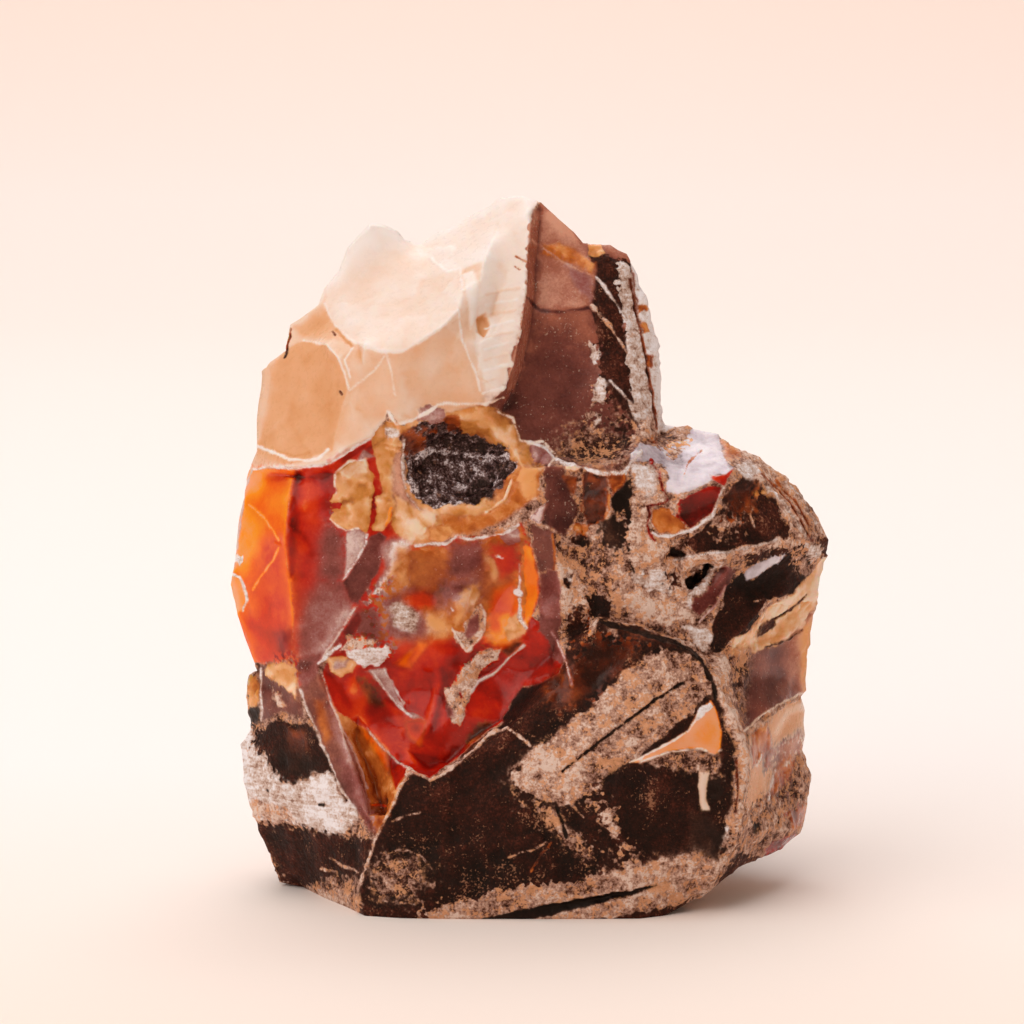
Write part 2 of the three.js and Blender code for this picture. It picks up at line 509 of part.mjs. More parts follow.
// Halves every edge that is too long, and cuts the faces beside it
function splitLongEdges(skin) {
  const middles = new Map();
  const middleOf = (a, b) => {
    const key = edgeKey(a, b);
    if (skin.points[a].distanceTo(skin.points[b]) <= LONGEST_EDGE) return -1;
    if (!middles.has(key)) {
      const isCrease = skin.creases.delete(key);
      skin.points.push(skin.points[a].clone().lerp(skin.points[b], 0.5));
      skin.isFixed.push(isCrease);
      skin.isFront.push(skin.isFront[a] && skin.isFront[b]);
      const made = skin.points.length - 1;
      middles.set(key, made);
      if (isCrease) skin.creases.add(edgeKey(a, made)).add(edgeKey(made, b));
    }
    return middles.get(key);
  };
  const faces = [];
  for (const corners of skin.faces) {
    const mids = corners.map((corner, k) => middleOf(corner, corners[(k + 1) % 3]));
    const cut = mids.filter((middle) => middle >= 0).length;
    const start = cut === 1 ? mids.findIndex((middle) => middle >= 0) : (mids.indexOf(-1) + 1) % 3;
    const [a, b, c] = [0, 1, 2].map((k) => corners[(start + k) % 3]);
    const [ab, bc, ca] = [0, 1, 2].map((k) => mids[(start + k) % 3]);
    if (cut === 0) faces.push(corners);
    if (cut === 1) faces.push([a, ab, c], [ab, b, c]);
    if (cut === 2) faces.push([ab, b, bc], [a, ab, bc], [a, bc, c]);
    if (cut === 3) faces.push([a, ab, ca], [ab, b, bc], [ca, bc, c], [ab, bc, ca]);
  }
  skin.faces = faces;
  return middles.size;
}

function sinkBowls(skin) {
  skin.points.forEach((point, i) => {
    if (!skin.isFront[i]) return;
    const { u, v } = onDrawing(point);
    for (const bowl of BOWLS) {
      const reach = ((u - bowl.across) / bowl.wide) ** 2 + ((v - bowl.up) / bowl.high) ** 2;
      if (reach < 1) point.y += bowl.deep * (1 - reach) ** BOWL_RIM;
    }
  });
}

// Each scar sinks the hidden skin towards the inside, with a rim where it starts
function sinkScars(skin) {
  const normals = toGeometry(skin).attributes.normal;
  const normal = new THREE.Vector3();
  skin.points.forEach((point, i) => {
    if (skin.isFront[i] || point.z < FOOT_CLEAR) return;
    normal.fromBufferAttribute(normals, i);
    for (const scar of SCARS) {
      const away = point.distanceTo(placed([scar.across, scar.height, scar.back]));
      const reach = (away / scar.radius) ** 2;
      if (reach < 1) point.addScaledVector(normal, -scar.deep * (1 - reach) ** BOWL_RIM);
    }
  });
}

// 1 on rough stone, falling to a small share on the smooth broken faces
function roughShare(point, isFront) {
  if (!isFront) return 1;
  const { u, v } = onDrawing(point);
  const depths = SMOOTH_FACES.map((face) => {
    const reach = ((u - face.across) / face.wide) ** 2 + ((v - face.up) / face.high) ** 2;
    return THREE.MathUtils.smoothstep(reach, SMOOTH_END, ROUGH_START);
  });
  return SMOOTH_SHARE + (1 - SMOOTH_SHARE) * Math.min(...depths);
}

// Pushes the skin in and out by noise, and leaves the resting face flat
function roughen(skin) {
  const noise = new ImprovedNoise();
  const geometry = toGeometry(skin);
  const normals = geometry.attributes.normal;
  const normal = new THREE.Vector3();
  skin.points.forEach((point, i) => {
    if (point.z < FOOT_CLEAR) return;
    const large = noise.noise(point.x / LUMP_SIZE, point.y / LUMP_SIZE, point.z / LUMP_SIZE);
    const small = noise.noise(
      point.x / GRAIN_SIZE + GRAIN_SHIFT,
      point.y / GRAIN_SIZE,
      point.z / GRAIN_SIZE,
    );
    normal.fromBufferAttribute(normals, i);
    const height = ROUGHNESS * roughShare(point, skin.isFront[i]) * (LUMP_SHARE * large + small);
    const limit = Math.min(1, point.z / LUMP_SIZE);
    point.addScaledVector(normal, height * limit);
  });
}

function toGeometry(skin) {
  const geometry = new THREE.BufferGeometry();
  const places = skin.points.flatMap((point) => [point.x, point.y, point.z]);
  geometry.setAttribute('position', new THREE.Float32BufferAttribute(places, 3));
  geometry.setIndex(skin.faces.flat());
  geometry.computeVertexNormals();
  return geometry;
}

// The stone stands with the middle of its outer box over the origin
function standOnOrigin(geometry) {
  geometry.computeBoundingBox();
  const middle = geometry.boundingBox.getCenter(new THREE.Vector3());
  geometry.translate(-middle.x, -middle.y, -geometry.boundingBox.min.z);
  return geometry;
}

function makeStone() {
  const skin = sewSides(makeBothSides());
  relax(skin, FILM_ROUNDS);
  while (splitLongEdges(skin) > 0) {
    relax(skin, SPLIT_ROUNDS);
  }
  sinkBowls(skin);
  sinkScars(skin);
  roughen(skin);
  const material = new THREE.MeshStandardMaterial({ color: 0x8c4a36, roughness: 0.4, metalness: 0 });
  const stone = new THREE.Mesh(standOnOrigin(toGeometry(skin)), material);
  stone.name = 'opal_stone';
  return stone;
}

const part = new THREE.Group();
part.add(makeStone());

export default part;
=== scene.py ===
"""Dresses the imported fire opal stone: its fine relief, its kinds of stone and the pale studio around it."""

import math
from collections import namedtuple

import bpy
import numpy as np
from bpy.props import FloatProperty, PointerProperty
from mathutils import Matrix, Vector, noise


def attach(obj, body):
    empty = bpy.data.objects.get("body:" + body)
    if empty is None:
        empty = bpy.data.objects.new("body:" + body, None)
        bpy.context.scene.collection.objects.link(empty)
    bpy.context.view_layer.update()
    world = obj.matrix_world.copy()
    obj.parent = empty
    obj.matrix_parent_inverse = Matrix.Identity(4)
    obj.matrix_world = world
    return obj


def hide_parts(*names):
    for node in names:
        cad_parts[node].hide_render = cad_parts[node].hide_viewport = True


bl_info = {
    "name": "Rough fire opal",
    "version": (1, 0, 0),
    "blender": (4, 5, 0),
    "location": "3D View > Sidebar > Fire opal",
    "description": "Makes the fine surface of a rough fire opal stone and the studio it stands in",
    "category": "Object",
}

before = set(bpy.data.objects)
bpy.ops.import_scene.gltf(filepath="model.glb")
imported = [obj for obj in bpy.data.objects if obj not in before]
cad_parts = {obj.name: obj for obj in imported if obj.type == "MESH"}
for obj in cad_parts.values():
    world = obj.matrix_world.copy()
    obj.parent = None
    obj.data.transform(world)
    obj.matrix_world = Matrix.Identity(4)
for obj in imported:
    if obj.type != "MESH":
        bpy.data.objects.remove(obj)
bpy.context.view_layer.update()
NODE = "opal_stone"
BODY = "root"
MM = 0.001

# The photograph's view: millimetres in the plane through the stone's front foot
VIEW_DROP = math.radians(7)
VIEW_DISTANCE = 533.0
PIXELS_PER_MM = 8.0
PHOTO_SIZE = 1024
FOOT_PIXEL = (531, 919)  # the apex line, and the front foot
SENSOR = 24.0
FOOT_ACROSS = -0.05  # the apex line in the stone's own frame
FOOT_BACK = -26.66  # the front foot in the stone's own frame

# A kind of stone. Colours go from dark to light as sRGB hex. Sway is how much the tone moves with noise of
# 6, 2.2, 0.8 and 0.3 mm and with fibres; flecks are a second colour: its hex, how much each of the same
# four noises places it, where it starts and is full, and its strength. Glow is the share of light that
# travels under the surface, bump the strength of the grain, drift how far its borders wander in pixels,
# waves and facets the size and height of its fine relief in mm.
Kind = namedtuple(
    "Kind", "colours sway fleck fleck_at fleck_range fleck_strength rough glow bump drift waves facets")
KINDS = {
    "matrix": Kind(
        ("2a120c", "6c4434", "a67e6c", "caa08a", "e8cebe"), (0.5, 0.9, 1.5, 1.1, 0.3),
        "de9f72", (0.3, 0.8, 1.0, 0.5), (0.0, 0.16), 0.8, 0.62, 0.0, 0.9, 3.0, (2.0, 0.30), (2.2, 0.55)),
    "dark": Kind(
        ("080201", "1a0502", "2e0e06", "502216", "966650"), (0.5, 0.4, 0.6, 0.8, 0.0),
        "b07a5c", (1.0, 0.7, 0.5, 1.1), (0.2, 0.46), 0.6, 0.66, 0.0, 0.6, 2.4, (3.2, 0.16), (5.0, 0.55)),
    "glass": Kind(
        ("281010", "522824", "7c443a", "ac6852", "daa288"), (0.4, 0.25, 0.15, 0.2, 0.0),
        "d0b4a0", (0.4, 0.4, 0.5, 1.4), (0.26, 0.42), 0.5, 0.24, 0.2, 0.08, 1.0, (8.0, 0.10), (9.0, 0.12)),
    "lilac": Kind(
        ("451614", "743630", "96544e", "b4847e", "e2ccc6"), (0.5, 0.3, 0.25, 0.25, 0.0),
        "d8b4ac", (0.3, 0.4, 0.6, 1.4), (0.28, 0.5), 0.5, 0.2, 0.25, 0.1, 1.2, (5.0, 0.10), (6.0, 0.2)),
    "cream": Kind(
        ("dc9a64", "e8b084", "eeccb2", "f4e4d8", "f8f0ea"), (0.3, 0.15, 0.05, 0.04, 0.0),
        "fff4ea", (0.3, 0.3, 0.5, 0.9), (0.42, 0.5), 0.4, 0.3, 0.12, 0.06, 0.8, (9.0, 0.10), (6.5, 0.20)),
    "crust": Kind(
        ("8a6656", "bc9c8c", "d8c2b6", "eae0de", "f8f4f6"), (0.5, 0.8, 1.2, 1.0, 0.9),
        "e0a884", (0.6, 0.6, 0.8, 0.4), (0.14, 0.34), 0.6, 0.55, 0.0, 0.7, 3.0, (1.6, 0.25), (1.8, 0.30)),
    "agate": Kind(
        ("8c7c82", "bcb0b8", "d8d0da", "e8e2ea", "f2eef4"), (1.2, 0.9, 0.4, 0.2, 0.0),
        "e6b694", (0.5, 0.6, 0.4, 0.2), (0.26, 0.42), 0.5, 0.28, 0.15, 0.12, 1.2, (5.0, 0.15), (5.0, 0.40)),
    "ochre": Kind(
        ("76300e", "b4652c", "da9248", "ecb47e", "f6dcc2"), (0.8, 0.5, 0.18, 0.12, 0.0),
        "f4e0c8", (0.3, 0.5, 0.6, 0.6), (0.3, 0.46), 0.4, 0.18, 0.55, 0.08, 1.8, (3.0, 0.16), (2.8, 0.6)),
    "orange": Kind(
        ("9c1c04", "dc3a06", "f46c0a", "ff9a1c", "f8b082"), (0.35, 0.15, 0.1, 0.1, 0.0),
        "f8c8a0", (0.2, 0.3, 0.5, 1.3), (0.44, 0.52), 0.5, 0.14, 0.6, 0.04, 0.8, (9.0, 0.10), (12.0, 0.15)),
    "red": Kind(
        ("400502", "8a0c04", "c01a05", "de3c0a", "f07c34"), (0.6, 0.3, 0.15, 0.12, 0.0),
        "dc6c50", (0.3, 0.4, 0.6, 1.4), (0.34, 0.5), 0.2, 0.15, 0.45, 0.05, 0.8, (6.0, 0.14), (6.5, 0.28)),
    "rust": Kind(
        ("2a0c04", "64240c", "a44a1a", "cc7430", "eaa868"), (0.7, 0.35, 0.18, 0.14, 0.0),
        "d89c78", (0.4, 0.6, 0.9, 0.6), (0.24, 0.44), 0.5, 0.22, 0.35, 0.14, 1.6, (3.0, 0.2), (3.6, 0.4)),
    "druse": Kind(
        ("1c0e0d", "382423", "5c4644", "8c7a7a", "dcd2d4"), (0.5, 0.9, 1.5, 1.6, 0.0),
        "a8785c", (0.3, 0.8, 0.8, 0.4), (0.14, 0.34), 0.6, 0.35, 0.0, 1.0, 3.0, (1.2, 0.2), (1.1, 0.9)),
    "black": Kind(
        ("040100", "0e0402", "1c0a06", "32180f", "583626"), (0.6, 0.5, 0.6, 0.4, 0.0),
        "6a4434", (0.4, 0.6, 0.9, 0.6), (0.3, 0.5), 0.5, 0.5, 0.0, 0.4, 2.0, (2.5, 0.2), (3.0, 0.3)),
}

# A patch of the front, drawn in the photograph's pixels: its tone from 0 dark to 1 light, how far it stands
# out in mm, and how many pixels its border takes to change over. Ragged above 1 makes the border crumble.
Patch = namedtuple("Patch", "kind tone raised outline soft ragged", defaults=(0.8, 1.0))
Line = namedtuple("Line", "kind tone raised width points")
# A shade is a soft spot of painted light and shade: it pulls the tone towards its own, by its strength, over
# an ellipse of the given size in pixels
Shade = namedtuple("Shade", "tone strength centre size")

# Broad fields of the front
BROAD_PATCHES = (
    Patch("cream", 0.5, 0, (
        (225, 472), (253, 469), (268, 467), (294, 469), (321, 465), (332, 462), (347, 450), (371, 438),
        (385, 420), (388, 410), (400, 424), (412, 420), (430, 408), (460, 404), (487, 404), (503, 390),
        (513, 365), (521, 330), (526, 295), (527, 260), (530, 222), (540, 190), (500, 180), (390, 200),
        (340, 230), (240, 360), (225, 420))),
    Patch("glass", 0.52, 0, (
        (530, 222), (527, 260), (526, 295), (521, 330), (513, 365), (503, 390), (487, 404), (500, 410),
        (510, 415), (520, 440), (535, 443), (555, 459), (565, 464), (590, 469), (624, 472), (632, 452),
        (640, 430), (640, 200), (545, 190))),
    Patch("dark", 0.5, 0, (
        (590, 254), (594, 250), (617, 258), (632, 262), (622, 320), (628, 360), (637, 430), (632, 455),
        (618, 462), (610, 404), (603, 380), (597, 327), (591, 300)), 1.2, 1.5),
    Patch("orange", 0.5, 0, (
        (210, 472), (253, 469), (296, 469), (291, 490), (288, 512), (286, 537), (287, 558), (290, 578),
        (294, 611), (292, 652), (282, 660), (262, 662), (210, 665))),
    Patch("red", 0.55, 0, (
        (296, 469), (321, 465), (332, 462), (347, 450), (371, 438), (400, 440), (411, 540), (398, 570),
        (356, 607), (318, 664), (300, 690), (292, 652), (294, 611), (290, 578), (287, 558), (286, 537),
        (288, 512), (291, 490))),
    Patch("red", 0.42, 0, (
        (370, 590), (400, 545), (447, 544), (456, 537), (485, 536), (502, 534), (521, 522), (532, 548),
        (540, 582), (538, 600), (532, 617), (552, 632), (564, 658), (558, 675), (539, 684), (523, 686),
        (509, 706), (501, 723), (485, 733), (465, 751), (444, 768), (430, 778), (420, 775), (409, 768),
        (397, 760), (365, 728), (337, 711), (322, 674), (340, 630))),
    Patch("ochre", 0.6, 0, (
        (371, 438), (385, 420), (405, 425), (412, 418), (440, 405), (487, 404), (510, 415), (520, 440),
        (530, 443), (545, 468), (530, 500), (495, 525), (455, 537), (415, 545), (395, 532),
        (385, 500))),
    Patch("dark", 0.3, 0, (
        (410, 773), (430, 780), (445, 775), (465, 752), (485, 735), (501, 724), (509, 706), (523, 686),
        (539, 684), (558, 675), (564, 658), (572, 640), (590, 618), (612, 620), (641, 627), (662, 635),
        (692, 647), (710, 672), (733, 712), (746, 738), (749, 777), (740, 814), (735, 850), (720, 875),
        (695, 902), (690, 940), (350, 940), (357, 896), (363, 876), (370, 857), (376, 836), (389, 813),
        (401, 787)), 0.8, 1.2),
    # The deep groove behind the wedge: orange-brown stone painted lighter, as painted light that lifts the
    # groove's shade
    Patch("rust", 0.8, 0, (
        (322, 674), (337, 711), (365, 728), (397, 760), (410, 768), (401, 787), (389, 813), (376, 836),
        (370, 811), (366, 787), (358, 762), (344, 732), (331, 703))),
    Patch("glass", 0.5, 0, (
        (300, 688), (312, 672), (323, 674), (331, 703), (344, 732), (358, 762), (366, 787), (370, 811),
        (376, 836), (368, 826), (356, 811), (340, 787), (326, 753), (310, 715)), 1.0),
    Patch("dark", 0.42, 0, (
        (745, 473), (760, 482), (768, 492), (776, 500), (780, 512), (789, 527), (788, 538), (765, 541),
        (743, 547), (731, 553), (696, 553), (687, 545), (690, 538), (701, 529), (714, 519), (721, 505),
        (731, 487))),
    Patch("dark", 0.26, 0, (
        (783, 557), (802, 542), (812, 565), (808, 576), (792, 593), (768, 600), (756, 619), (746, 634),
        (731, 638), (724, 650), (709, 654), (714, 634), (710, 626), (724, 604), (725, 587), (743, 573),
        (753, 581))),
    Patch("glass", 0.52, 0, (
        (734, 647), (753, 649), (783, 642), (809, 614), (835, 610), (835, 690), (802, 692), (777, 705),
        (761, 714), (744, 731), (737, 712), (731, 681)), 1.0),
    Patch("cream", 0.05, 0, (
        (749, 730), (764, 720), (772, 716), (787, 705), (803, 698), (812, 692), (835, 692), (835, 745),
        (800, 746), (792, 762), (777, 777), (766, 794), (749, 809), (742, 807), (749, 777))),
    Patch("dark", 0.5, 0, (
        (712, 892), (733, 848), (762, 857), (798, 838), (812, 824), (835, 826), (800, 850), (770, 866),
        (733, 885)), 2, 2),
)

# The cream cap: plates, fin, chipped edges and fine cracks. Its plates step in tone, partly their own
# colour and partly painted light and shade: lighter on the upward plate, darker on the lower facets
CAP_PATCHES = (
    Patch("cream", 0.2, 0, (
        (240, 470), (240, 430), (250, 400), (256, 372), (285, 350), (303, 340), (327, 345), (338, 358),
        (346, 378), (348, 388), (338, 420), (332, 450), (300, 462)), 2),
    Patch("cream", 0.38, 0, (
        (350, 350), (380, 352), (420, 343), (445, 326), (462, 340), (475, 370), (485, 404), (412, 420),
        (388, 410), (371, 438), (347, 449), (335, 440), (348, 388), (346, 378), (340, 358)), 2),
    Patch("cream", 0.7, 0, (
        (325, 303), (330, 272), (340, 248), (350, 215), (390, 205), (405, 235), (420, 255), (430, 258),
        (446, 272), (460, 266), (463, 290), (458, 310), (440, 328), (420, 341), (402, 351), (380, 351),
        (365, 345), (350, 340), (335, 325), (328, 312))),
    Patch("cream", 0.84, 0, (
        (410, 243), (440, 215), (522, 180), (535, 200), (510, 205), (497, 225), (485, 260), (462, 270),
        (446, 272), (430, 258), (420, 255)), 2),
    Patch("cream", 0.78, 0, (
        (510, 200), (535, 200), (530, 222), (527, 260), (526, 295), (521, 330), (513, 365), (503, 390),
        (487, 404), (484, 380), (475, 350), (478, 305), (480, 290), (485, 260), (497, 225)), 2),
    Patch("cream", 0.25, -0.4, ((476, 318), (486, 313), (491, 326), (484, 338), (477, 332)), 2),
    Patch("cream", 0.8, 0.1, (
        (462, 275), (474, 270), (480, 290), (476, 318), (470, 330), (468, 300)), 1.5),
    Patch("cream", 0.3, 0, (
        (286, 322), (300, 312), (322, 306), (336, 326), (350, 342), (330, 340), (303, 336)), 3),
)
# Soft spots of painted light and shade on the cap: lighter on the upward plate, darker on the lower facets at
# the left and at the fin's foot
CAP_SHADES = (
    Shade(0.08, 0.5, (285, 430), (34, 30)),
    Shade(0.9, 0.5, (385, 235), (50, 26)),
    Shade(0.62, 0.5, (430, 365), (26, 18)),
    Shade(0.12, 0.5, (345, 425), (26, 28)),
    Shade(0.42, 0.5, (505, 370), (12, 34)),
    Shade(0.5, 0.4, (300, 385), (20, 26)),
)
CAP_LINES = (
    Line("cream", 0.8, 0.1, 1.6, (
        (325, 303), (328, 312), (335, 325), (350, 340), (365, 347), (380, 352), (402, 352), (420, 342),
        (440, 329), (458, 311))),
    Line("cream", 0.9, 0.15, 1.8, ((463, 290), (460, 268), (446, 272), (430, 258))),
    # A painted shadow line below the plate's ledge
    Line("cream", 0.05, -0.15, 2.4, ((336, 330), (344, 339), (353, 347))),
    Line("cream", 0.85, 0.1, 1.4, ((353, 347), (345, 360), (350, 378))),
    Line("cream", 0.75, 0.05, 1.2, ((385, 355), (375, 370), (350, 390))),
    Line("cream", 0.75, 0.05, 1.2, ((387, 352), (391, 372), (395, 395))),
    Line("cream", 0.85, 0.1, 1.6, ((458, 310), (462, 340), (475, 370), (480, 390))),
    # A painted shadow line above the bright rim
    Line("cream", 0.05, -0.05, 1.6, ((270, 449), (294, 456), (311, 452))),
    Line("cream", 0.95, 0.15, 2.6, (
        (257, 446), (270, 451), (289, 459), (308, 461), (318, 459), (328, 449))),
    Line("crust", 0.85, 0.1, 2.0, (
        (253, 469), (268, 467), (282, 467), (294, 469), (308, 467), (322, 465), (332, 462), (347, 451),
        (371, 438))),
    Line("cream", 0.85, 0.05, 1.4, ((303, 340), (327, 345), (338, 358), (346, 378), (348, 388))),
    Line("cream", 0.9, 0.1, 2.6, ((388, 412), (396, 424), (412, 420), (440, 404), (487, 404))),
    Line("cream", 0.9, 0.1, 1.6, (
        (529, 222), (527, 260), (526, 295), (521, 330), (513, 365), (503, 390))),
    Line("rust", 0.2, -0.3, 3.4, ((291, 329), (288, 343), (285, 357))),
    Line("rust", 0.3, -0.1, 2.4, ((333, 332), (335, 335))),
    Line("rust", 0.5, -0.1, 2.0, ((340, 391), (342, 394))),
    Line("rust", 0.7, 0, 2.0, ((515, 257), (521, 260), (527, 262))),
    Line("rust", 0.7, 0, 1.6, ((515, 267), (520, 270))),
)


RIPPLES = 11
RIPPLE_TOP = 288
RIPPLE_STEP = 11


def fin_ripples():
    """The fine level ripples at the foot of the cap's fin, 1.4 mm apart, alternately painted lighter and
    darker as their light and shade.
    """
    ripples = []
    for k in range(RIPPLES):
        low = RIPPLE_TOP + RIPPLE_STEP * k
        left, right = 486 - 0.3 * k, 519 - 1.6 * k
        # Every other ripple is painted lighter, as light and shade across the ripples
        tone = 0.95 if k % 2 else 0.55
        bow = ((left, low + 6), ((left + right) / 2, low + 3), (right, low))
        ripples.append(Line("cream", tone, 0.12, 2.2, bow))
    return tuple(ripples)


# The smoky glass face, and the rind with its white comb at the right edge
GLASS_PATCHES = (
    Patch("glass", 0.84, 0, (
        (533, 210), (555, 212), (578, 240), (597, 270), (591, 307), (555, 311), (540, 309), (527, 295),
        (527, 260)), 3),
    Patch("glass", 0.62, 0, (
        (527, 300), (555, 313), (590, 310), (594, 345), (560, 358), (518, 350)), 10),
    Patch("glass", 0.4, 0, (
        (495, 400), (540, 385), (603, 395), (630, 450), (545, 460), (515, 430)), 20),
    Patch("matrix", 0.3, 0, (
        (560, 436), (590, 428), (628, 430), (630, 470), (590, 466), (560, 458)), 14, 8),
    Patch("lilac", 0.6, 0, ((567, 265), (590, 275), (592, 300), (575, 285)), 5),
    Patch("rust", 0.72, 0.1, (
        (543, 244), (560, 243), (575, 250), (596, 264), (592, 274), (575, 264), (540, 254)), 3),
    Patch("ochre", 0.5, 0.1, ((588, 243), (600, 240), (606, 252), (596, 258), (588, 256))),
    Patch("crust", 0.5, 0.1, ((588, 339), (595, 345), (600, 362), (592, 360)), 1, 2),
    Patch("crust", 0.5, 0.1, ((597, 373), (608, 385), (603, 404), (592, 398)), 1, 2),
    Patch("crust", 0.3, 0.075, ((592, 414), (604, 418), (596, 430)), 1, 2),
    Patch("crust", 0.42, 0.1, (
        (617, 262), (631, 264), (634, 304), (641, 336), (648, 381), (653, 415), (650, 440), (640, 440),
        (633, 413), (628, 373), (624, 320), (618, 290)), 1, 1.6),
    Patch("crust", 0.85, 0.15, (
        (632, 262), (650, 265), (672, 330), (680, 425), (657, 434), (650, 395), (645, 358),
        (638, 310)), 1),
    Patch("rust", 0.55, 0.1, ((637, 303), (646, 302), (646, 312), (639, 314)), 1.5, 2),
    Patch("rust", 0.6, 0.1, ((638, 322), (646, 324), (647, 334), (641, 333)), 1.5, 2),
    Patch("rust", 0.45, 0.1, ((644, 354), (652, 355), (653, 369), (646, 368)), 1.5, 2),
    Patch("rust", 0.3, 0, ((646, 425), (655, 426), (656, 441), (648, 442)), 1.5, 2),
    Patch("matrix", 0.62, 0.1, (
        (640, 420), (655, 418), (660, 436), (640, 446), (630, 452), (632, 436)), 3, 3),
)
GLASS_LINES = (
    # A lighter strip along the fin's foot: painted light on the steep wall that the lamps leave in shade
    Line("glass", 0.72, 0, 13, (
        (534, 225), (534, 260), (532, 295), (527, 330), (519, 362), (511, 385))),
    Line("glass", 0.95, 0.05, 1.6, ((531, 240), (560, 260), (590, 275))),
    Line("glass", 0.28, -0.1, 2.6, ((527, 297), (540, 310), (555, 312), (590, 308))),
    Line("rust", 0.25, -0.2, 3, ((630, 280), (637, 320), (643, 345), (652, 400), (656, 428))),
    Line("matrix", 0.8, 0.1, 4, ((592, 306), (606, 322), (618, 338), (626, 352))),
    Line("crust", 0.7, 0.1, 2.4, ((597, 277), (610, 296), (621, 312))),
    Line("crust", 0.6, 0.1, 2.2, ((610, 381), (622, 392), (630, 404), (634, 414), (643, 419))),
    Line("cream", 0.8, 0.1, 2.0, ((498, 412), (512, 418), (521, 440), (532, 443))),
    Line("crust", 0.75, 0.15, 3.6, (
        (530, 443), (545, 448), (555, 459), (565, 464), (580, 467), (589, 470), (609, 473), (624, 472),
        (630, 465), (640, 452))),
    Line("crust", 0.9, 0.15, 3, ((588, 471), (609, 475), (626, 473))),
)

# The orange window and the red face beside it
WINDOW_PATCHES = (
    # The window's left edge: orange opal, partly its own colour and partly painted glow of light through the
    # thin edge
    Patch("orange", 0.98, 0, ((236, 470), (275, 469), (270, 484), (256, 494), (238, 500)), 12),
    Patch("orange", 0.78, 0, (
        (228, 500), (250, 506), (262, 524), (262, 556), (248, 578), (225, 570)), 10),
    Patch("orange", 0.55, 0, ((268, 470), (297, 470), (290, 500), (282, 520), (268, 505)), 8),
    Patch("orange", 0.3, 0, (
        (262, 540), (287, 530), (293, 600), (285, 640), (255, 625), (252, 580)), 14),
    Patch("orange", 0.2, 0, (
        (225, 612), (258, 620), (290, 622), (292, 660), (262, 665), (230, 650)), 10),
    Patch("red", 0.18, 0, ((276, 632), (292, 628), (293, 655), (280, 656)), 7, 2),
    Patch("crust", 0.8, 0.1, ((236, 555), (242, 556), (243, 563), (237, 566)), 1, 2),
    Patch("orange", 0.8, 0.1, (
        (232, 574), (240, 578), (247, 597), (244, 611), (238, 612), (232, 596)), 2),
    # A darker red-brown strip beside the fold: painted shade
    Patch("red", 0.2, 0, (
        (296, 469), (304, 469), (299, 500), (297, 540), (296, 580), (290, 578), (286, 537),
        (290, 500)), 4),
    Patch("red", 0.7, 0, ((304, 476), (322, 472), (326, 500), (316, 520), (304, 530), (300, 505)), 10),
    Patch("red", 0.42, 0, ((325, 465), (345, 452), (336, 480), (330, 500), (334, 522), (322, 500)), 6),
    Patch("red", 0.45, 0, ((296, 560), (312, 552), (318, 580), (306, 610), (296, 605)), 9),
    # A mauve haze on the red face's lower right: painted reflection of the soft lights
    Patch("lilac", 0.42, 0, (
        (326, 522), (345, 534), (346, 575), (335, 590), (318, 575), (320, 540)), 12, 1.5),
    Patch("lilac", 0.5, 0, (
        (318, 580), (345, 580), (357, 604), (340, 632), (318, 664), (300, 686), (296, 640),
        (302, 605)), 12, 1.5),
    Patch("lilac", 0.78, 0, (
        (344, 606), (356, 608), (338, 636), (318, 664), (312, 656), (330, 628)), 4),
    Patch("red", 0.32, 0, ((341, 455), (371, 438), (364, 449), (352, 458), (342, 463)), 1),
    Patch("lilac", 0.72, 0.1, ((363, 449), (375, 456), (358, 462)), 1.5),
    Patch("ochre", 0.6, 0.2, (
        (335, 473), (349, 461), (366, 460), (373, 475), (375, 489), (371, 507), (371, 523), (366, 533),
        (358, 528), (346, 531), (337, 525), (330, 519), (332, 512), (346, 504), (330, 502), (337, 495),
        (335, 482)), 0.8, 2),
    Patch("ochre", 0.76, 0.1, (
        (338, 472), (349, 462), (366, 461), (370, 474), (356, 474), (342, 486)), 3),
    Patch("ochre", 0.7, 0.2, (
        (377, 495), (390, 494), (397, 502), (392, 516), (385, 530), (373, 530), (375, 513)), 0.8, 1.5),
    Patch("lilac", 0.82, 0.1, (
        (346, 533), (356, 527), (366, 533), (365, 544), (356, 561), (344, 578), (346, 559)), 1),
    Patch("lilac", 0.22, 0, (
        (370, 537), (380, 532), (386, 537), (383, 554), (377, 573), (366, 590), (358, 604), (350, 602),
        (344, 582), (357, 562), (366, 545)), 1.5),
    Patch("lilac", 0.7, 0, (
        (380, 545), (390, 538), (411, 540), (408, 561), (397, 573), (380, 595), (363, 606), (373, 590),
        (384, 568)), 5, 2),
    Patch("crust", 0.72, 0.15, (
        (392, 545), (402, 541), (411, 541), (406, 560), (394, 574), (380, 592), (366, 603), (376, 588),
        (388, 568)), 3, 6),
)
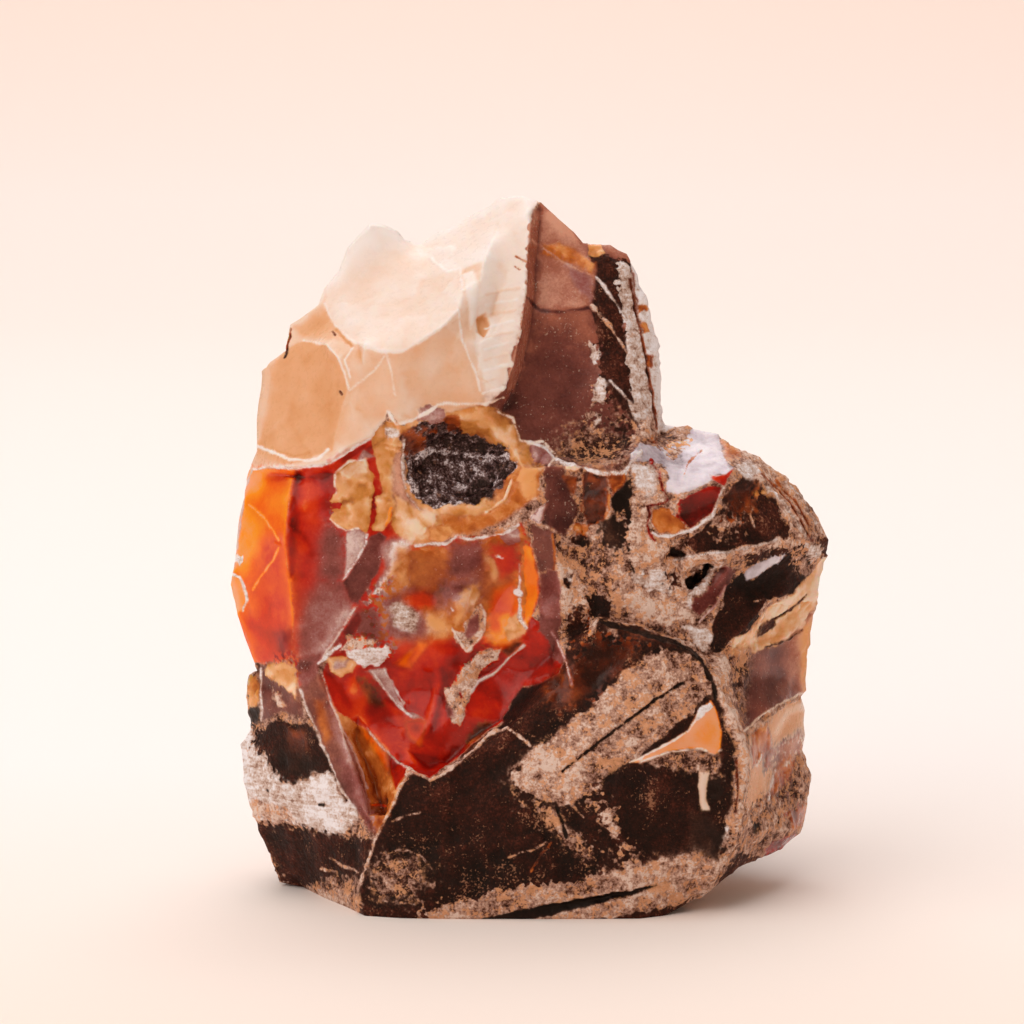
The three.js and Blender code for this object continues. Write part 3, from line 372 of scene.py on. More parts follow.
# Soft spots of painted shade and light on the red face: darker low beside the fold, lighter at the top of its
# facet
WINDOW_SHADES = (
    Shade(0.1, 0.5, (303, 640), (10, 16)),
    Shade(0.75, 0.4, (311, 498), (9, 16)),
)
WINDOW_LINES = (
    Line("orange", 0.98, 0.05, 1.5, ((250, 505), (265, 518), (275, 533), (279, 541))),
    Line("orange", 0.98, 0.05, 1.6, ((279, 547), (273, 561), (261, 576), (253, 590))),
    Line("lilac", 0.95, 0.1, 2.0, ((355, 608), (338, 636), (318, 664))),
    Line("crust", 0.8, 0.15, 3.0, ((318, 664), (328, 655), (340, 645))),
    Line("crust", 0.8, 0.1, 2.0, ((367, 534), (366, 544), (357, 560), (344, 579))),
    Line("cream", 0.9, 0.15, 1.8, ((337, 495), (335, 482), (335, 473), (349, 461), (366, 460))),
    Line("cream", 0.8, 0.1, 1.6, ((330, 519), (337, 525), (346, 531), (358, 528))),
    Line("orange", 0.7, 0.1, 2.4, ((391, 508), (389, 518), (386, 526))),
    Line("crust", 0.8, 0.1, 2.2, ((233, 575), (240, 577), (246, 593), (247, 600), (243, 612))),
    Line("lilac", 0.9, 0.1, 2.4, ((252, 470), (244, 489), (240, 526), (237, 549))),
)

# The crystal eye and its amber rim
EYE_PATCHES = (
    Patch("ochre", 0.5, 0, ((380, 450), (402, 448), (404, 505), (396, 530), (385, 500)), 6),
    Patch("glass", 0.9, 0, (
        (396, 452), (404, 448), (406, 492), (428, 514), (424, 532), (402, 524), (391, 492)), 4, 2),
    Patch("rust", 0.84, 0.1, (
        (500, 470), (516, 462), (524, 478), (514, 498), (498, 506), (494, 492)), 3, 2),
    Patch("ochre", 0.62, 0.1, ((385, 440), (395, 436), (401, 450), (392, 456)), 1.5, 2),
    Patch("crust", 0.6, 0.15, ((387, 424), (398, 428), (400, 438), (388, 440), (384, 432)), 2, 2),
    Patch("ochre", 0.55, 0.1, (
        (455, 410), (487, 406), (510, 418), (514, 438), (500, 440), (480, 430), (462, 428)), 5),
    Patch("ochre", 0.66, 0.1, ((490, 426), (514, 424), (520, 442), (505, 446), (492, 438)), 4),
    Patch("lilac", 0.6, 0.2, (
        (418, 408), (430, 405), (445, 410), (444, 422), (430, 424), (419, 420)), 2, 2),
    Patch("rust", 0.7, 0.1, (
        (515, 464), (542, 468), (538, 496), (518, 512), (508, 500), (514, 480)), 3),
    Patch("rust", 0.85, 0.1, ((520, 468), (538, 470), (535, 492), (522, 500)), 5),
    Patch("ochre", 0.74, 0.1, (
        (395, 495), (412, 506), (432, 512), (440, 522), (432, 538), (412, 543), (396, 532)), 5, 2),
    Patch("rust", 0.72, 0.1, (
        (440, 516), (480, 514), (512, 500), (524, 508), (495, 525), (455, 537), (444, 530)), 3, 2),
    Patch("rust", 0.85, 0.1, ((428, 526), (450, 524), (453, 536), (440, 544), (429, 540)), 2, 2),
    Patch("druse", 0.42, 0, (
        (402, 435), (425, 420), (437, 425), (455, 418), (460, 432), (485, 438), (510, 455), (515, 465),
        (500, 490), (475, 505), (435, 508), (412, 495), (403, 460)), 1, 2),
    Patch("rust", 0.3, 0.1, ((443, 416), (458, 414), (462, 430), (448, 432)), 2, 2),
    # The hollow in the druse: its upper band is dark crust painted darker still as shade on the upper wall,
    # the raised pale patch is its floor painted lighter as painted light, and the sunk dark patches are
    # painted shade in small pits
    Patch("rust", 0.25, 0.1, ((402, 430), (437, 428), (436, 448), (405, 456)), 4, 3),
    Patch("druse", 0.3, 0, ((420, 430), (465, 434), (505, 448), (500, 460), (425, 452)), 4, 2),
    Patch("druse", 0.66, 0.2, (
        (424, 468), (446, 460), (478, 464), (492, 476), (476, 488), (455, 500), (434, 494)), 4, 2),
    Patch("druse", 0.18, -0.2, (
        (470, 482), (488, 474), (502, 476), (494, 496), (474, 504), (466, 496)), 3, 2),
    Patch("druse", 0.3, -0.2, ((412, 470), (424, 466), (428, 488), (418, 492)), 3, 2),
    Patch("lilac", 0.6, 0.25, ((529, 446), (540, 443), (555, 456), (549, 465), (534, 462))),
    Patch("crust", 0.35, 0.2, ((527, 516), (547, 504), (540, 524))),
)
EYE_LINES = (
    # A pale band of crystals with painted highlights, where the hollow's floor catches the light
    Line("druse", 0.72, 0.3, 9, ((418, 456), (434, 450), (458, 453), (484, 458), (506, 458))),
    Line("druse", 0.66, 0.2, 5, ((410, 462), (410, 478), (418, 496))),
    Line("druse", 0.6, 0.2, 5, ((500, 470), (494, 486))),
    Line("cream", 0.8, 0.2, 2.2, ((528, 444), (543, 442), (557, 456), (549, 467))),
    Line("crust", 0.4, 0.1, 2, ((404, 440), (402, 470), (408, 496), (420, 510))),
    Line("crust", 0.8, 0.2, 3.0, (
        (416, 546), (436, 543), (447, 544), (456, 537), (470, 539), (485, 536), (503, 534),
        (519, 525))),
    Line("ochre", 0.9, 0.2, 2.2, ((486, 512), (505, 500), (512, 480))),
    Line("ochre", 0.85, 0.1, 2.6, ((386, 448), (400, 452))),
)

# The red hollow: scoops, leaf, crescents and crushed edges
HOLLOW_PATCHES = (
    Patch("rust", 0.8, 0, (
        (396, 548), (447, 545), (485, 537), (521, 526), (532, 548), (538, 582), (522, 628), (496, 640),
        (470, 636), (440, 640), (400, 640), (372, 636), (366, 612), (384, 585)), 7, 1.5),
    Patch("rust", 0.84, 0, ((408, 552), (440, 545), (452, 556), (438, 582), (412, 590), (402, 572)), 8),
    Patch("lilac", 0.18, 0, ((452, 545), (480, 540), (484, 560), (468, 580), (450, 575)), 8),
    Patch("lilac", 0.5, 0, ((448, 580), (480, 572), (478, 600), (452, 612), (440, 600)), 10, 2),
    Patch("red", 0.66, 0, ((490, 545), (515, 545), (520, 570), (500, 580), (490, 565)), 9),
    Patch("ochre", 0.6, 0, ((484, 553), (494, 560), (499, 573), (496, 586), (489, 572)), 3),
    Patch("ochre", 0.52, 0, ((462, 592), (478, 584), (480, 600), (470, 612), (460, 606)), 5),
    Patch("lilac", 0.58, 0, ((499, 537), (518, 526), (521, 543), (508, 545))),
    Patch("lilac", 0.38, 0, (
        (384, 598), (410, 588), (436, 596), (440, 625), (415, 640), (384, 640)), 9, 2),
    Patch("lilac", 0.4, 0, ((352, 612), (376, 608), (384, 625), (376, 640), (352, 636)), 5),
    Patch("red", 0.22, 0, ((343, 632), (357, 612), (362, 620), (350, 640)), 2),
    Patch("rust", 0.7, 0, ((446, 600), (470, 606), (465, 622), (448, 628)), 5),
    Patch("orange", 0.5, 0, (
        (494, 590), (516, 580), (522, 610), (515, 645), (492, 645), (486, 622)), 7),
    Patch("orange", 0.85, 0.1, ((497, 617), (510, 612), (516, 628), (503, 636)), 4),
    Patch("ochre", 0.75, 0.1, ((504, 630), (518, 612), (528, 620), (524, 636), (508, 642)), 2, 2),
    Patch("orange", 0.62, 0.1, (
        (524, 544), (532, 548), (535, 565), (540, 582), (538, 600), (532, 617), (526, 627), (525, 610),
        (527, 594), (524, 572)), 1.2),
    Patch("matrix", 0.75, 0.15, (
        (481, 605), (485, 616), (484, 632), (475, 644), (466, 651), (458, 642), (452, 627), (463, 633),
        (466, 623), (473, 613)), 0.8, 1.5),
    Patch("lilac", 0.35, 0, ((470, 618), (479, 614), (479, 630), (470, 640), (464, 636)), 2),
    Patch("orange", 0.5, 0, ((402, 596), (424, 590), (438, 600), (430, 612), (408, 610)), 7, 1.5),
    Patch("crust", 0.4, 0, ((388, 606), (402, 600), (420, 612), (414, 632), (396, 628)), 4, 7),
    Patch("rust", 0.95, 0, ((424, 612), (444, 606), (450, 630), (432, 640)), 7, 2),
    Patch("red", 0.5, 0, (
        (472, 692), (492, 675), (510, 660), (535, 655), (564, 657), (558, 675), (539, 684), (523, 686),
        (509, 706), (501, 723), (485, 733), (465, 751), (455, 740), (462, 728)), 2),
    Patch("red", 0.36, 0, ((520, 655), (562, 655), (560, 668), (530, 668)), 3, 3),
    Patch("rust", 0.4, 0, ((470, 735), (478, 722), (492, 722), (484, 734), (466, 750)), 3),
    Patch("red", 0.5, 0, (
        (322, 680), (352, 676), (395, 668), (437, 662), (448, 690), (446, 740), (440, 770), (418, 775),
        (397, 760), (365, 728), (337, 711)), 2),
    Patch("red", 0.66, 0, ((324, 682), (352, 680), (372, 700), (366, 722), (340, 708)), 7),
    Patch("rust", 0.5, 0, ((355, 676), (374, 684), (384, 706), (370, 704)), 5),
    Patch("red", 0.62, 0.1, (
        (384, 700), (405, 712), (425, 718), (437, 668), (442, 684), (434, 715), (430, 732), (418, 747),
        (400, 730)), 3),
    Patch("orange", 0.2, 0.1, ((404, 722), (426, 722), (420, 746), (410, 738)), 4),
    Patch("red", 0.6, 0.1, ((398, 672), (420, 664), (432, 690), (424, 712), (404, 702)), 6, 2),
    Patch("red", 0.2, 0, (
        (440, 655), (462, 655), (450, 690), (440, 712), (436, 735), (430, 732), (442, 684)), 4),
    Patch("orange", 0.5, 0, ((398, 665), (420, 640), (428, 644), (410, 668)), 4),
    Patch("red", 0.44, 0, ((425, 735), (450, 722), (446, 755), (430, 770)), 4),
    Patch("matrix", 0.8, 0.15, (
        (501, 647), (499, 656), (485, 666), (475, 682), (472, 694), (466, 706), (461, 728), (454, 722),
        (449, 706), (444, 692), (453, 684), (463, 667), (475, 654)), 1, 1.5),
    Patch("lilac", 0.3, 0, ((444, 700), (452, 708), (456, 718), (448, 716)), 2),
    Patch("rust", 0.25, 0, ((502, 650), (518, 637), (524, 645), (508, 656)), 3),
    Patch("crust", 0.7, 0.2, (
        (346, 649), (377, 646), (390, 648), (391, 657), (378, 667), (364, 665), (354, 662)), 1.2, 2),
    Patch("matrix", 0.85, 0.15, (
        (346, 639), (361, 637), (377, 640), (374, 647), (352, 648), (340, 652)), 1.5, 2),
    Patch("ochre", 0.72, 0.2, (
        (327, 659), (348, 656), (355, 663), (352, 673), (340, 676), (329, 670)), 1, 1.5),
    Patch("lilac", 0.7, 0.1, ((331, 661), (348, 660), (346, 668), (334, 668)), 3),
    Patch("lilac", 0.82, 0.1, (
        (366, 670), (384, 668), (394, 685), (404, 708), (425, 720), (415, 720), (397, 706),
        (380, 685)), 1.5, 2),
    Patch("rust", 0.62, 0, (
        (349, 720), (372, 734), (386, 748), (391, 773), (386, 790), (382, 764), (368, 748),
        (357, 732)), 3),
    Patch("orange", 0.45, 0, ((360, 728), (376, 740), (386, 752), (388, 770), (378, 756)), 5),
    Patch("red", 0.3, 0, ((387, 750), (400, 762), (408, 770), (396, 790), (391, 773)), 2),
    Patch("rust", 0.35, 0, ((372, 806), (392, 790), (388, 812), (376, 832)), 5),
)
HOLLOW_LINES = (
    Line("crust", 0.7, 0.1, 2.2, ((519, 565), (521, 580), (518, 592))),
    Line("crust", 0.9, 0.1, 5, ((516, 592), (520, 594))),
    Line("crust", 0.7, 0.1, 3, ((520, 600), (520, 617), (526, 628))),
    Line("crust", 0.95, 0.1, 3.6, ((497, 556), (503, 558))),
    Line("crust", 0.9, 0.1, 2.6, ((451, 608), (453, 611))),
    Line("lilac", 0.95, 0.2, 2.8, ((524, 646), (509, 658), (492, 675), (478, 681), (472, 692))),
    Line("crust", 0.75, 0.1, 1.8, ((372, 672), (385, 690), (398, 706), (412, 717))),
    Line("crust", 0.7, 0.1, 1.8, ((384, 670), (394, 686), (404, 704))),
    Line("crust", 0.6, 0.15, 1.8, ((366, 728), (383, 748), (398, 762), (410, 769))),
    Line("matrix", 0.85, 0.2, 2.8, (
        (409, 768), (420, 775), (430, 780), (440, 775), (454, 766), (465, 757), (475, 750), (485, 738),
        (496, 731), (509, 728), (530, 745))),
    Line("cream", 0.7, 0.1, 1.8, (
        (452, 627), (460, 642), (466, 651), (475, 644), (484, 632), (485, 616), (481, 605))),
    Line("red", 0.1, 0, 3, ((460, 692), (462, 697))),
)

# The block at the lower left with its white band
BLOCK_PATCHES = (
    Patch("matrix", 0.42, 0, (
        (225, 670), (262, 662), (300, 690), (310, 715), (326, 753), (340, 787), (356, 811), (368, 826),
        (377, 836), (370, 857), (363, 876), (357, 896), (357, 930), (220, 930), (215, 720)), 1),
    Patch("glass", 0.42, 0, (
        (258, 668), (262, 664), (300, 690), (304, 718), (280, 712), (262, 722)), 3),
    Patch("lilac", 0.35, 0, (
        (296, 660), (312, 655), (322, 652), (318, 672), (305, 688), (298, 680)), 3),
    Patch("ochre", 0.56, 0.075, (
        (263, 668), (284, 660), (297, 669), (298, 678), (297, 699), (289, 690), (279, 685),
        (270, 680)), 1.5, 2),
    Patch("matrix", 0.7, 0.1, ((272, 690), (289, 706), (284, 709), (273, 701)), 1.5, 2),
    Patch("ochre", 0.38, 0, ((244, 676), (259, 676), (260, 705), (248, 708)), 2, 2),
    Patch("black", 0.4, 0, ((248, 708), (260, 705), (260, 722), (250, 727)), 2),
    Patch("dark", 0.45, 0, (
        (255, 729), (263, 732), (274, 720), (288, 722), (305, 724), (317, 732), (326, 752), (330, 773),
        (316, 771), (307, 780), (298, 782), (288, 782), (281, 780), (273, 771), (270, 757), (267, 754),
        (256, 754)), 1, 1.5),
    Patch("black", 0.5, 0, ((276, 750), (300, 750), (318, 765), (300, 780), (282, 776)), 7, 2),
    Patch("rust", 0.3, 0, ((288, 730), (304, 732), (306, 748), (292, 748)), 6),
    Patch("dark", 0.46, 0, (
        (225, 815), (257, 822), (305, 827), (344, 836), (361, 836), (376, 838), (368, 858), (361, 878),
        (333, 875), (305, 892), (286, 889), (270, 857), (230, 840)), 3, 3),
    Patch("crust", 0.5, 0.15, (
        (225, 729), (252, 729), (255, 753), (267, 755), (273, 771), (281, 780), (295, 783), (307, 780),
        (316, 771), (330, 774), (340, 795), (356, 808), (358, 818), (344, 834), (323, 831), (305, 827),
        (288, 822), (270, 818), (256, 818), (225, 815)), 1.6, 2),
    Patch("crust", 0.78, 0, (
        (305, 786), (320, 776), (330, 780), (342, 805), (340, 826), (320, 824), (305, 806)), 5, 2),
    Patch("matrix", 0.86, 0, (
        (230, 795), (258, 800), (290, 808), (300, 824), (258, 818), (230, 812)), 4, 3),
    Patch("matrix", 0.5, 0.1, (
        (300, 892), (319, 884), (333, 890), (360, 893), (360, 925), (300, 925)), 2, 2),
    Patch("lilac", 0.25, 0, (
        (340, 760), (352, 762), (368, 800), (374, 832), (360, 812), (346, 785)), 5, 2),
    Patch("lilac", 0.55, 0, ((330, 706), (344, 734), (356, 762), (348, 764), (334, 736)), 5),
    Patch("rust", 0.6, 0, ((314, 700), (322, 700), (332, 735), (326, 745), (317, 722)), 5),
)
BLOCK_LINES = (
    Line("crust", 0.7, 0.1, 1.8, ((261, 668), (261, 690), (262, 720))),
    Line("crust", 0.5, 0.15, 2.0, ((300, 690), (310, 715), (326, 753), (340, 787), (356, 811))),
    Line("lilac", 0.9, 0.1, 1.8, ((323, 676), (331, 703), (344, 732), (358, 762), (367, 788))),
    Line("matrix", 0.85, 0.2, 2.6, (
        (409, 769), (401, 787), (389, 813), (376, 836), (370, 857), (363, 876), (358, 895))),
    Line("orange", 0.15, 0, 2.0, ((371, 805), (386, 806))),
    Line("matrix", 0.8, 0.05, 1.8, ((330, 858), (345, 866), (358, 872))),
    Line("matrix", 0.8, 0.05, 1.8, ((322, 868), (335, 872))),
    Line("black", 0.1, -0.1, 3, ((320, 804), (324, 805))),
    Line("black", 0.1, -0.1, 2, ((268, 790), (269, 791))),
)

# The dark brown front panel with its pale bands, crack, agate lens and swirl
PANEL_PATCHES = (
    Patch("dark", 0.42, 0, ((430, 800), (480, 760), (520, 770), (520, 830), (460, 850)), 20),
    Patch("dark", 0.2, 0, ((400, 880), (420, 860), (520, 850), (520, 890), (420, 912)), 14),
    Patch("matrix", 0.3, 0, (
        (372, 868), (392, 856), (416, 860), (426, 880), (414, 898), (380, 900)), 9, 7),
    Patch("dark", 0.6, 0, (
        (600, 800), (640, 806), (690, 800), (700, 815), (640, 830), (600, 822)), 9, 7),
    Patch("rust", 0.1, 0, ((540, 690), (600, 640), (640, 640), (620, 670), (560, 710)), 10),
    Patch("matrix", 0.58, 0.075, (
        (508, 776), (520, 768), (530, 750), (548, 742), (575, 715), (590, 708), (600, 695), (618, 682),
        (622, 672), (635, 666), (650, 655), (668, 648), (690, 655), (706, 672), (716, 690), (706, 696),
        (698, 706), (690, 716), (670, 730), (655, 742), (640, 757), (618, 768), (605, 778), (600, 790),
        (580, 800), (560, 806), (545, 800), (528, 796)), 1, 2.2),
    Patch("matrix", 0.78, 0.1, (
        (512, 776), (540, 748), (570, 752), (590, 780), (560, 800), (530, 790)), 12, 4),
    Patch("matrix", 0.48, 0, ((650, 660), (690, 656), (710, 690), (690, 705), (660, 700)), 10, 3),
    Patch("matrix", 0.45, 0, ((600, 760), (640, 740), (670, 716), (650, 740), (615, 770)), 6, 3),
    Patch("dark", 0.28, 0, (
        (604, 776), (625, 765), (650, 763), (680, 765), (700, 775), (712, 800), (700, 840), (640, 850),
        (600, 820)), 8, 2),
    Patch("matrix", 0.36, 0, (
        (640, 762), (662, 752), (690, 749), (718, 757), (718, 775), (690, 772), (660, 766)), 3, 2),
    Patch("orange", 0.96, 0.075, (
        (630, 763), (645, 756), (665, 744), (688, 730), (699, 710), (711, 700), (717, 712), (722, 731),
        (720, 751), (714, 755), (703, 749), (690, 748), (665, 752), (645, 762)), 1, 0.6),
    Patch("orange", 0.86, 0, ((690, 735), (708, 715), (716, 730), (712, 748), (698, 745)), 5),
    Patch("crust", 0.95, 0.1, ((698, 712), (709, 701), (713, 708), (702, 718), (694, 722))),
    Patch("cream", 0.55, 0.1, (
        (699, 772), (709, 772), (707, 784), (706, 798), (710, 810), (701, 811), (698, 786)), 1, 1.5),
    Patch("black", 0.4, 0, ((709, 776), (724, 776), (722, 800), (711, 806)), 3, 3),
    Patch("crust", 0.5, 0.1, ((722, 826), (728, 826), (727, 838), (722, 838)), 1, 2),
    Patch("crust", 0.4, 0.1, ((720, 843), (726, 843), (724, 851)), 1, 2),
    Patch("matrix", 0.5, 0.075, (
        (425, 912), (447, 905), (460, 900), (475, 899), (488, 891), (505, 890), (530, 885), (560, 882),
        (590, 876), (610, 872), (630, 868), (655, 860), (680, 855), (700, 852), (722, 862), (712, 885),
        (690, 900), (665, 908), (600, 920), (540, 935), (425, 935)), 1, 2),
    Patch("matrix", 0.75, 0, ((600, 872), (690, 853), (722, 862), (700, 894), (640, 900)), 8, 3),
    Patch("black", 0.12, -0.6, (
        (456, 921), (490, 917), (540, 906), (590, 897), (630, 890), (667, 882), (650, 889), (600, 903),
        (560, 913), (520, 922)), 1, 0.6),
    Patch("matrix", 0.4, 0.1, (
        (536, 802), (556, 812), (572, 832), (592, 855), (586, 860), (566, 846), (546, 828)), 4, 4),
    Patch("matrix", 0.75, 0.1, (
        (596, 800), (612, 812), (618, 830), (628, 848), (620, 850), (606, 832)), 3, 4),
    Patch("matrix", 0.5, 0.1, (
        (700, 655), (718, 652), (729, 657), (731, 681), (733, 712), (746, 738), (749, 777), (742, 812),
        (738, 850), (722, 875), (697, 904), (690, 895), (715, 865), (728, 830), (732, 790), (735, 750),
        (725, 722), (712, 680)), 2, 2),
    Patch("matrix", 0.74, 0.1, (
        (712, 655), (729, 658), (731, 684), (736, 712), (748, 740), (749, 777), (743, 800), (741, 770),
        (736, 738), (722, 706), (714, 680)), 2, 2),
    Patch("black", 0.6, 0, ((690, 810), (712, 816), (722, 838), (718, 860), (690, 848)), 5),
)
PANEL_LINES = (
    Line("black", 0.1, -0.5, 2.6, ((563, 771), (600, 741), (640, 712), (655, 700), (683, 683))),
    Line("cream", 0.85, 0.1, 2.2, ((630, 763), (645, 756), (665, 745), (688, 731), (699, 714))),
    Line("cream", 0.85, 0.1, 1.8, (
        (640, 762), (665, 753), (690, 749), (703, 749), (714, 755), (721, 750))),
    # A painted shadow on the curved wall where the panel sinks below the matrix, and painted light on the lip
    # above it
    Line("black", 0.2, 0, 5, ((600, 622), (645, 634), (683, 645), (702, 662), (713, 684), (716, 700))),
    Line("matrix", 0.85, 0.1, 1.8, (
        (609, 620), (624, 622), (642, 627), (662, 635), (677, 640), (692, 646))),
    Line("matrix", 0.5, 0.1, 1.6, ((392, 852), (408, 850), (422, 857), (432, 870))),
    Line("matrix", 0.6, 0.1, 1.4, ((396, 862), (410, 862), (420, 870), (424, 882))),
    Line("matrix", 0.55, 0.1, 1.4, ((378, 872), (390, 880), (404, 882), (414, 876))),
    Line("matrix", 0.65, 0.1, 1.6, ((366, 886), (380, 892), (392, 888), (406, 894))),
    Line("matrix", 0.6, 0.1, 1.4, ((376, 900), (392, 902), (414, 904))),
    Line("matrix", 0.7, 0.05, 1.6, ((392, 822), (405, 816), (420, 812))),
    Line("matrix", 0.6, 0.05, 1.6, ((508, 858), (520, 852), (534, 850), (546, 842))),
    Line("rust", 0.5, 0, 2.2, ((551, 843), (540, 856), (531, 872))),
    Line("lilac", 0.9, 0.1, 1.8, ((552, 632), (562, 650), (568, 670), (572, 686))),
    Line("matrix", 0.7, 0.05, 1.6, ((564, 796), (575, 808), (584, 818))),
    Line("black", 0.2, -0.2, 3.5, ((556, 808), (562, 822), (566, 836))),
    Line("rust", 0.2, -0.1, 2.6, ((736, 760), (738, 790), (735, 812))),
)

# The matrix between glass and panel, with its brown columns
MATRIX_PATCHES = (
    Patch("glass", 0.25, 0, (
        (545, 465), (564, 468), (571, 494), (578, 506), (574, 524), (564, 536), (543, 524),
        (545, 503)), 1.5, 2),
    Patch("rust", 0.42, 0, ((561, 474), (578, 477), (574, 495), (570, 493)), 2),
    Patch("ochre", 0.85, 0.1, ((565, 465), (576, 466), (581, 469), (574, 471), (566, 470)), 1.0),
    # The brown columns under the glass's ledge: dark brown stone, painted darker still as shade under the
    # overhang
    Patch("rust", 0.12, 0, (
        (584, 472), (608, 475), (609, 494), (603, 521), (589, 525), (583, 512), (583, 490)), 1.5),
    Patch("rust", 0.3, 0, ((586, 474), (606, 477), (606, 490), (590, 488)), 6),
    Patch("rust", 0.28, 0, ((609, 475), (626, 473), (624, 489), (612, 495)), 2, 2),
    Patch("black", 0.3, 0, (
        (612, 497), (622, 490), (630, 472), (632, 500), (627, 519), (612, 512)), 1.5, 2),
    Patch("black", 0.5, 0, (
        (600, 522), (612, 514), (628, 520), (626, 545), (612, 552), (600, 545)), 4, 5),
    Patch("rust", 0.68, 0.35, ((573, 525), (588, 523), (589, 535), (575, 536)), 2, 1.5),
    Patch("dark", 0.4, -0.1, ((571, 537), (590, 537), (588, 546), (572, 544)), 3, 2),
    Patch("glass", 0.42, 0, ((530, 524), (555, 533), (555, 571), (539, 571), (533, 547)), 1.5, 2),
    Patch("lilac", 0.75, 0.15, ((530, 518), (540, 524), (548, 505), (539, 508)), 0.8),
    Patch("matrix", 0.4, 0, (
        (570, 560), (612, 557), (621, 571), (624, 587), (603, 593), (589, 584), (578, 577)), 3, 2),
    Patch("matrix", 0.82, 0, (
        (558, 562), (568, 560), (574, 574), (586, 588), (592, 600), (575, 606), (568, 625),
        (562, 606)), 2, 2.5),
    Patch("dark", 0.5, -0.3, ((564, 577), (572, 576), (574, 588), (566, 590)), 1.5, 2),
    Patch("lilac", 0.3, 0, (
        (540, 571), (559, 571), (561, 621), (558, 636), (566, 660), (556, 662), (548, 640), (539, 632),
        (539, 600)), 2, 2),
    Patch("dark", 0.55, 0, ((572, 606), (586, 609), (589, 635), (568, 650), (568, 628)), 2, 2.5),
    Patch("dark", 0.35, 0, ((584, 591), (612, 599), (609, 619), (592, 615), (586, 603)), 1.5, 2),
    Patch("matrix", 0.75, 0.1, ((589, 616), (596, 619), (593, 635), (588, 635)), 1, 2),
    Patch("matrix", 0.86, 0.05, (
        (624, 588), (686, 598), (692, 618), (671, 625), (633, 619), (624, 606)), 3, 2),
    Patch("crust", 0.4, 0.05, ((632, 575), (668, 572), (684, 592), (650, 592)), 4, 3),
    Patch("matrix", 0.72, 0.1, (
        (630, 465), (650, 464), (658, 474), (662, 492), (665, 502), (647, 506), (646, 530), (655, 540),
        (671, 544), (662, 555), (650, 568), (638, 574), (630, 562), (625, 540), (630, 512),
        (631, 489)), 1.5, 2),
    Patch("crust", 0.5, 0.1, ((632, 466), (652, 465), (658, 480), (650, 500), (636, 484)), 4, 3),
    Patch("matrix", 0.5, 0.1, ((604, 622), (618, 625), (616, 636), (606, 634)), 2, 2.5),
    Patch("dark", 0.55, 0, (
        (640, 628), (660, 632), (680, 642), (676, 648), (655, 642), (642, 636)), 2, 3),
    Patch("crust", 0.6, 0.1, ((682, 625), (700, 628), (713, 636), (706, 650), (694, 644)), 2, 2.5),
)
MATRIX_LINES = (
    Line("rust", 0.7, 0.1, 2.0, ((609, 495), (608, 508), (605, 517))),
    Line("rust", 0.62, 0.05, 1.6, ((583, 475), (583, 495), (581, 512))),
    Line("rust", 0.7, 0.1, 1.8, ((624, 474), (622, 484), (615, 490))),
    Line("rust", 0.5, 0.1, 1.8, ((553, 534), (555, 552), (554, 570))),
    Line("red", 0.15, -0.1, 2.0, (
        (650, 462), (655, 468), (659, 473), (662, 486), (668, 499), (664, 503), (647, 506), (650, 514),
        (647, 525), (649, 533), (655, 540))),
    Line("red", 0.3, 0, 5, ((650, 461), (651, 464))),
    Line("crust", 0.5, 0.1, 2.0, ((567, 573), (571, 580))),
    Line("black", 0.3, -0.1, 2.2, ((630, 560), (634, 572))),
)

